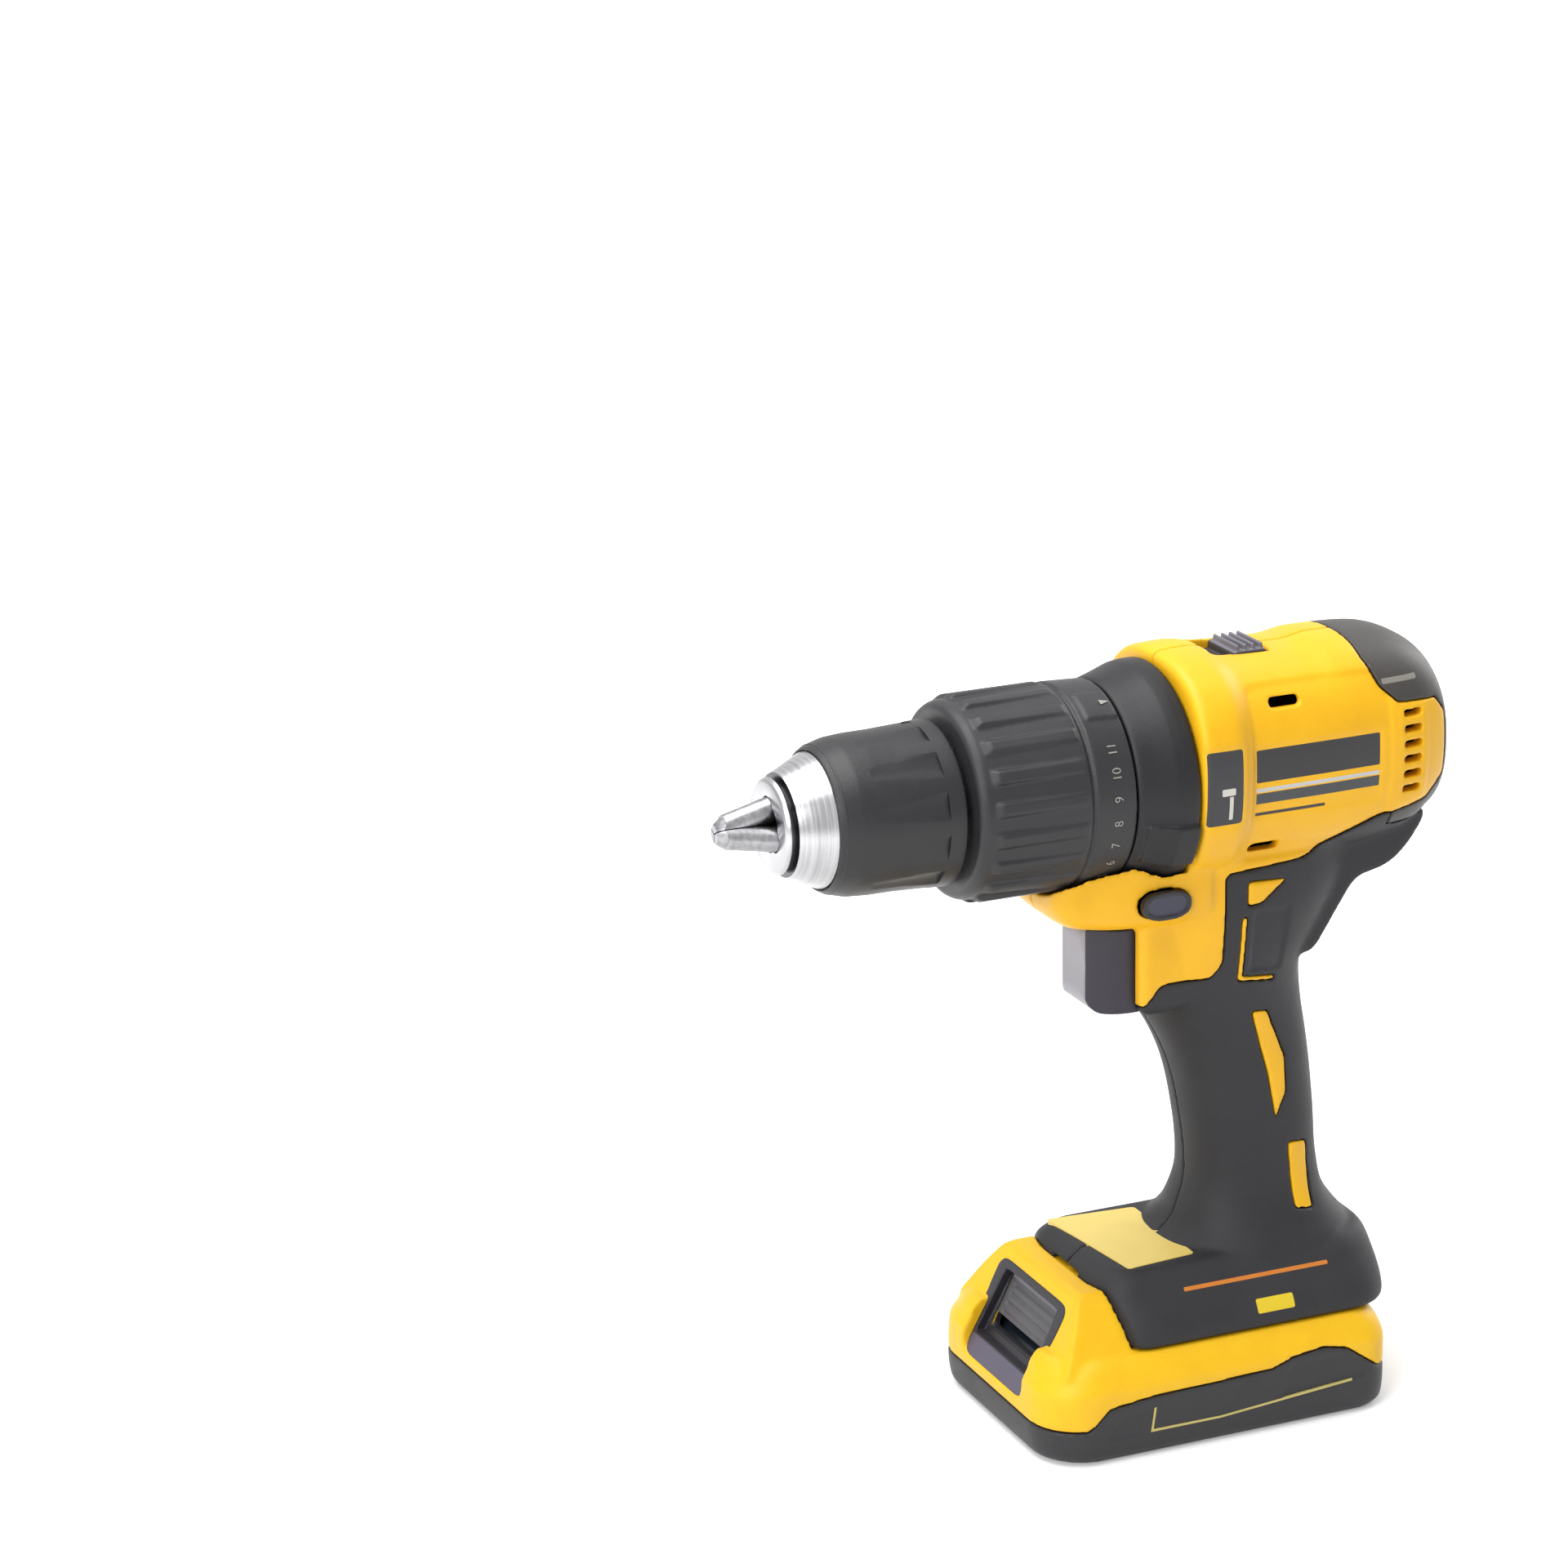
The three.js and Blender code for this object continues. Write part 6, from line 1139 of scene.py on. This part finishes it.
def seam_side(name, upper):
    """All that lies over the joint of cover and base, or under it."""
    shift = GAP / 2 if upper else -GAP / 2
    edge = [(x, z + shift) for x, z in SEAM]
    far_edge = [(80, -100), (-80, -100)] if upper else [(80, -200), (-80, -200)]
    return side_prism(name, edge + far_edge)


def cell_room():
    """The room for the cells: the pack less its wall, with a raised floor and a low roof."""
    raised = {0: PACK_WALL, 1: PACK_WALL / 2, 6: -1.2}
    inner = [(z + raised.get(i, 0), front + PACK_WALL, rear - PACK_WALL, half - PACK_WALL,
              r0 - PACK_WALL, r1 - PACK_WALL)
             for i, (z, front, rear, half, r0, r1) in enumerate(PACK_STATIONS) if i != 5]
    room = loft_plan("cell_room", inner)
    back = WINDOW_DEPTH + PACK_WALL
    return cut(room, behind_face("window_back", -190, -120, -40, back, 20.4))


def release_room():
    side = PAD_HALF + 0.6
    lowest = PAD_LOW - RELEASE_TRAVEL - 0.7
    plate = block("plate_room", -33.1, -29.3, -side, side, -154.5, -138.7)
    tongue = block("tongue_room", -32.5, -12.9, -7.6, 7.6, -146.1, -138.7)
    catch = block("catch_room", -18.6, -12.9, -7.6, 7.6, -140.2, -130)
    pad = side_prism("pad_room", [
        (-31.2, PAD_HIGH + 0.5), (face_x(PAD_HIGH) - 8, PAD_HIGH + 0.5),
        (face_x(PAD_LOW) - 8, lowest),
        (-31.2, lowest)], -side, side)
    return [plate, tongue, catch, pad]


FACE_SLANT = (FACE_TOP[0] - FACE_FOOT[0]) / (FACE_TOP[1] - FACE_FOOT[1])
battery_yellow = printed(
    moulded("battery yellow nylon", (0.9, 0.53, 0.009), (0.84, 0.475, 0.008), (0.36, 0.5), 0.3,
        specular=0.36),
    # Painted shade: the yellow seen inside the release window's openings is darkened nearly to
    # black.
    ((0.02, 0.02, 0.024), ((face_x(-150) + 11, 0, -150), (10, 15.6, 8.5), 0.2, FACE_SLANT)),
)
FRONT_SIDES = [
    (34.6, -166), (33.2, -153), (30.5, -148), (27.3, -142.5), (23.4, -137.4), (20.8, -135.2)]
front_block = side_prism("front_block", [
    (BLOCK_BACK, -135.2), (-30.3, -135.2), FACE_TOP, FACE_FOOT, (-46.3, -164.5),
    (BLOCK_BACK, -164.5)])
trim(front_block,
     front_prism("block_front", FRONT_SIDES + [(-y, z) for y, z in reversed(FRONT_SIDES)], -80,
         BLOCK_BACK),
     plan_prism("block_plan", plan_ring(-47.5, 80, 34.7, 14, 1), -177, 0))
lowered = foot("foot_room", GAP)
lowered.data.transform(Matrix.Translation((0, 0, -GAP)))
cut(front_block, foot("foot_room", GAP), lowered)
trim(front_block, seam_side("over_seam", True))
tower = front_prism("tower", [
    (-20, -159), (20, -159), (20, -145.7), (25, -145.7), (25, -143.5), (18.5, -136.6),
    (-18.5, -136.6), (-25, -143.5), (-25, -145.7), (-20, -145.7)], -30.5, 38)
cover = trim(pack_body("battery_shell"), seam_side("over_seam", True))
join(cover, front_block, tower)
BLADE_PLACES = (-12, -4, 4, 12)
blade_slots = [block("blade_slot", 29, 39, y - 1, y + 1, -145.1, -130) for y in BLADE_PLACES]
cut(cover, *blade_slots, window("window_pocket", 0, -10, WINDOW_DEPTH), *release_room())
soften(cover, 0.55, 8)
cut(cover, cell_room())
smooth_within(cover, 40)
settle(cover, battery_yellow, "battery", "battery_cover", "battery_cover")

# The release window is lined with a dark frame that ends in a finger ledge below the pad.
liner_plastic = printed(
    moulded("liner nylon", (0.022, 0.02, 0.027), (0.016, 0.015, 0.02), (0.36, 0.48), 0.25,
        specular=0.4),
    # Painted highlight: the finger ledge is painted a lighter purple-grey where it faces up to the
    # light.
    ((0.085, 0.074, 0.11), ((-44, 0, -161.4), (6, 17.6, 3.1), 0.4)),
)
LEDGE_TOP = -158
liner = trim(behind_face("window_liner", -170, -130, -0.25, WINDOW_DEPTH - 0.1, 30),
             front_prism("liner_outline", rounded(
                 [(-18.8, -163.9), (18.8, -163.9), (20.2, -138.7), (-20.2, -138.7)], 4), -80, 0))
inner_window = window("inner_window", -1.3, -3, WINDOW_DEPTH - 0.6)
cut(inner_window, block("ledge", -80, 0, -30, 30, -180, LEDGE_TOP))
cut(liner, inner_window, *release_room())
soften(liner, 0.25, 3)
smooth_all(liner)
settle(liner, liner_plastic, "battery", "battery_base")

# The release pad carries a latch on an arm; its face has a raised lip and fine grip lines.
pad_face = [(face_x(PAD_LOW) + PAD_PROUD, PAD_LOW), (face_x(PAD_HIGH) + PAD_PROUD, PAD_HIGH)]
catch = side_prism("release_pad", [(-31.5, PAD_HIGH), pad_face[1], pad_face[0], (-31.5, PAD_LOW)],
                   -PAD_HALF, PAD_HALF)
GRIP_LINES, LINE_STEP = 4, 2.4
for i in range(GRIP_LINES):
    z = PAD_HIGH - 2.6 - LINE_STEP * i
    cut(catch, behind_face("grip_line", z - 0.9, z, PAD_PROUD - 2, PAD_PROUD + 0.55,
        PAD_HALF - 2.5))
join(catch,
     block("release_plate", -32.5, -30, -PAD_HALF, PAD_HALF, -150, -139.2),
     block("release_arm", -31.5, -13.5, -7, 7, -141.7, -139.2),
     side_prism("release_latch", [(-18, -140.2), (-13.5, -140.2), (-13.5, -136.6), (-15, -135.4),
         (-18, -135.4)],
                -7, 7))
soften(catch, 0.28, 3)
smooth_all(catch)
release_nylon = printed(
    moulded("release nylon", (0.09, 0.088, 0.094), (0.066, 0.064, 0.07), (0.36, 0.5), 0.3,
        specular=0.4),
    # Painted highlight: a pale band along the top of the pad's face.
    ((0.2, 0.19, 0.22), ((-36, 0, -142.2), (8, PAD_HALF, 0.9), 0.2)),
)
settle(catch, release_nylon, "release_button", "release_button", "release_button")

base = trim(pack_body("battery_tray"), seam_side("under_seam", False))
soften(base, 0.6, 4)
press(base, rounded([(-32, -170.5), (-20.5, -170.5), (-19, -164), (-26, -164)], 1.5), 0.45, 1.5)
press(base, rounded([(21, -169), (47, -166), (45, -161.5), (39, -158.6), (23, -159.6)], 2), 0.5,
    1.5)
press(base, rounded(oblong(-30, 40, -28, 28), 4), 0.6, 1.4, 2, -176)
BASE_SCREWS = ((-37, -22), (-37, 22), (46.5, -27), (46.5, 27))
WELL_RADIUS, HEAD_RADIUS = 3, 2.6
for x, y in BASE_SCREWS:
    cut(base, plan_prism("screw_well", circle(x, y, WELL_RADIUS, 40), -178, -175.3))
cut(base, cell_room())
smooth_within(base, 40)
base_plastic = moulded(
    "base nylon", (0.028, 0.028, 0.031), (0.02, 0.02, 0.023), (0.42, 0.56), 0.35, specular=0.4)
settle(base, base_plastic, "battery", "battery_base", "battery_base")

# Four star-headed screws hold base and cover together from below.
heads = []
for x, y in BASE_SCREWS:
    head = plan_prism("head", circle(x, y, HEAD_RADIUS, 40), -176.4, -175.4)
    star = [(1.45 if i % 2 else 0.95, math.pi * i / 6) for i in range(12)]
    cut(head, plan_prism("star", [(x + r * math.cos(a), y + r * math.sin(a)) for r, a in star],
        -177, -175.8))
    heads.append(head)
base_screws = joined("base_screws", heads)
smooth_within(base_screws, 30)
head_steel = metal("screw steel", (0.5, 0.5, 0.51), (0.34, 0.34, 0.36), (0.3, 0.45))
settle(base_screws, head_steel, "battery", "battery_base")

# A thin pale line frames the label zone on each flank of the base.
line_outline = [
    (-16.7, -163.3), (-17.6, -169.4), (2.5, -169.5), (42.2, -166.5), (42.2, -167.1), (2.5, -170.1),
    (-18.3, -170.1), (-17.3, -163.3)]
label_line = trim(side_prism("label_line", line_outline), pack_body("grown_pack", 0.12))
cut(label_line, block("label_middle", -80, 80, -36.4, 36.4, -200, 0))
line_ink = moulded("label line ink", (0.6, 0.5, 0.16), (0.5, 0.42, 0.13), (0.45, 0.6), 0.1)
smooth_within(label_line, 30)
settle(label_line, line_ink, "battery", "battery_base")

# ------------------------------------------------------------------------------------------------
# The inner pieces and the screws keep their machined or moulded solids, and get their materials:
# steel, copper, nylon, laminate, cell wrap and the clear lens of the lamp.

turned_steel = metal("turned steel", (0.55, 0.55, 0.56), (0.38, 0.38, 0.4), (0.26, 0.42))
hard_steel = metal("hardened steel", (0.2, 0.2, 0.21), (0.12, 0.12, 0.13), (0.34, 0.5))
copper_wire = metal("enamelled copper", (0.72, 0.3, 0.14), (0.5, 0.18, 0.08), (0.3, 0.45))
inner_nylon = moulded("inner nylon", (0.05, 0.05, 0.052), (0.036, 0.036, 0.038), (0.42, 0.6), 0.3)
laminate = moulded("circuit laminate", (0.02, 0.12, 0.05), (0.012, 0.08, 0.03), (0.34, 0.5), 0.15)
cell_wrap = moulded("cell wrap", (0.02, 0.028, 0.04), (0.014, 0.02, 0.03), (0.28, 0.4), 0.08)
clear_lens = moulded("lamp lens", (0.86, 0.88, 0.9), (0.78, 0.8, 0.84), (0.12, 0.24), 0.1)
feed(clear_lens.node_tree, clear_lens.node_tree.nodes["Principled BSDF"], {
    "Transmission Weight": 0.35, "Coat Weight": 0.5})
CARRIED = (
    (turned_steel, ("screw", "spindle", "shift_fork", "motor_plate", "rotor_shaft", "rear_bearing",
        "chuck_nut")),
    (copper_wire, ("stator_windings",)),
    (inner_nylon, ("gear_case", "fan", "switch_body", "terminal_block")),
    (laminate, ("control_board",)),
    (cell_wrap, ("cell",)),
    (clear_lens, ("worklight",)),
)
for node_name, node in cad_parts.items():
    finish = hard_steel
    for material, beginnings in CARRIED:
        if node_name.startswith(beginnings):
            finish = material
    node.data.materials.clear()
    node.data.materials.append(finish)
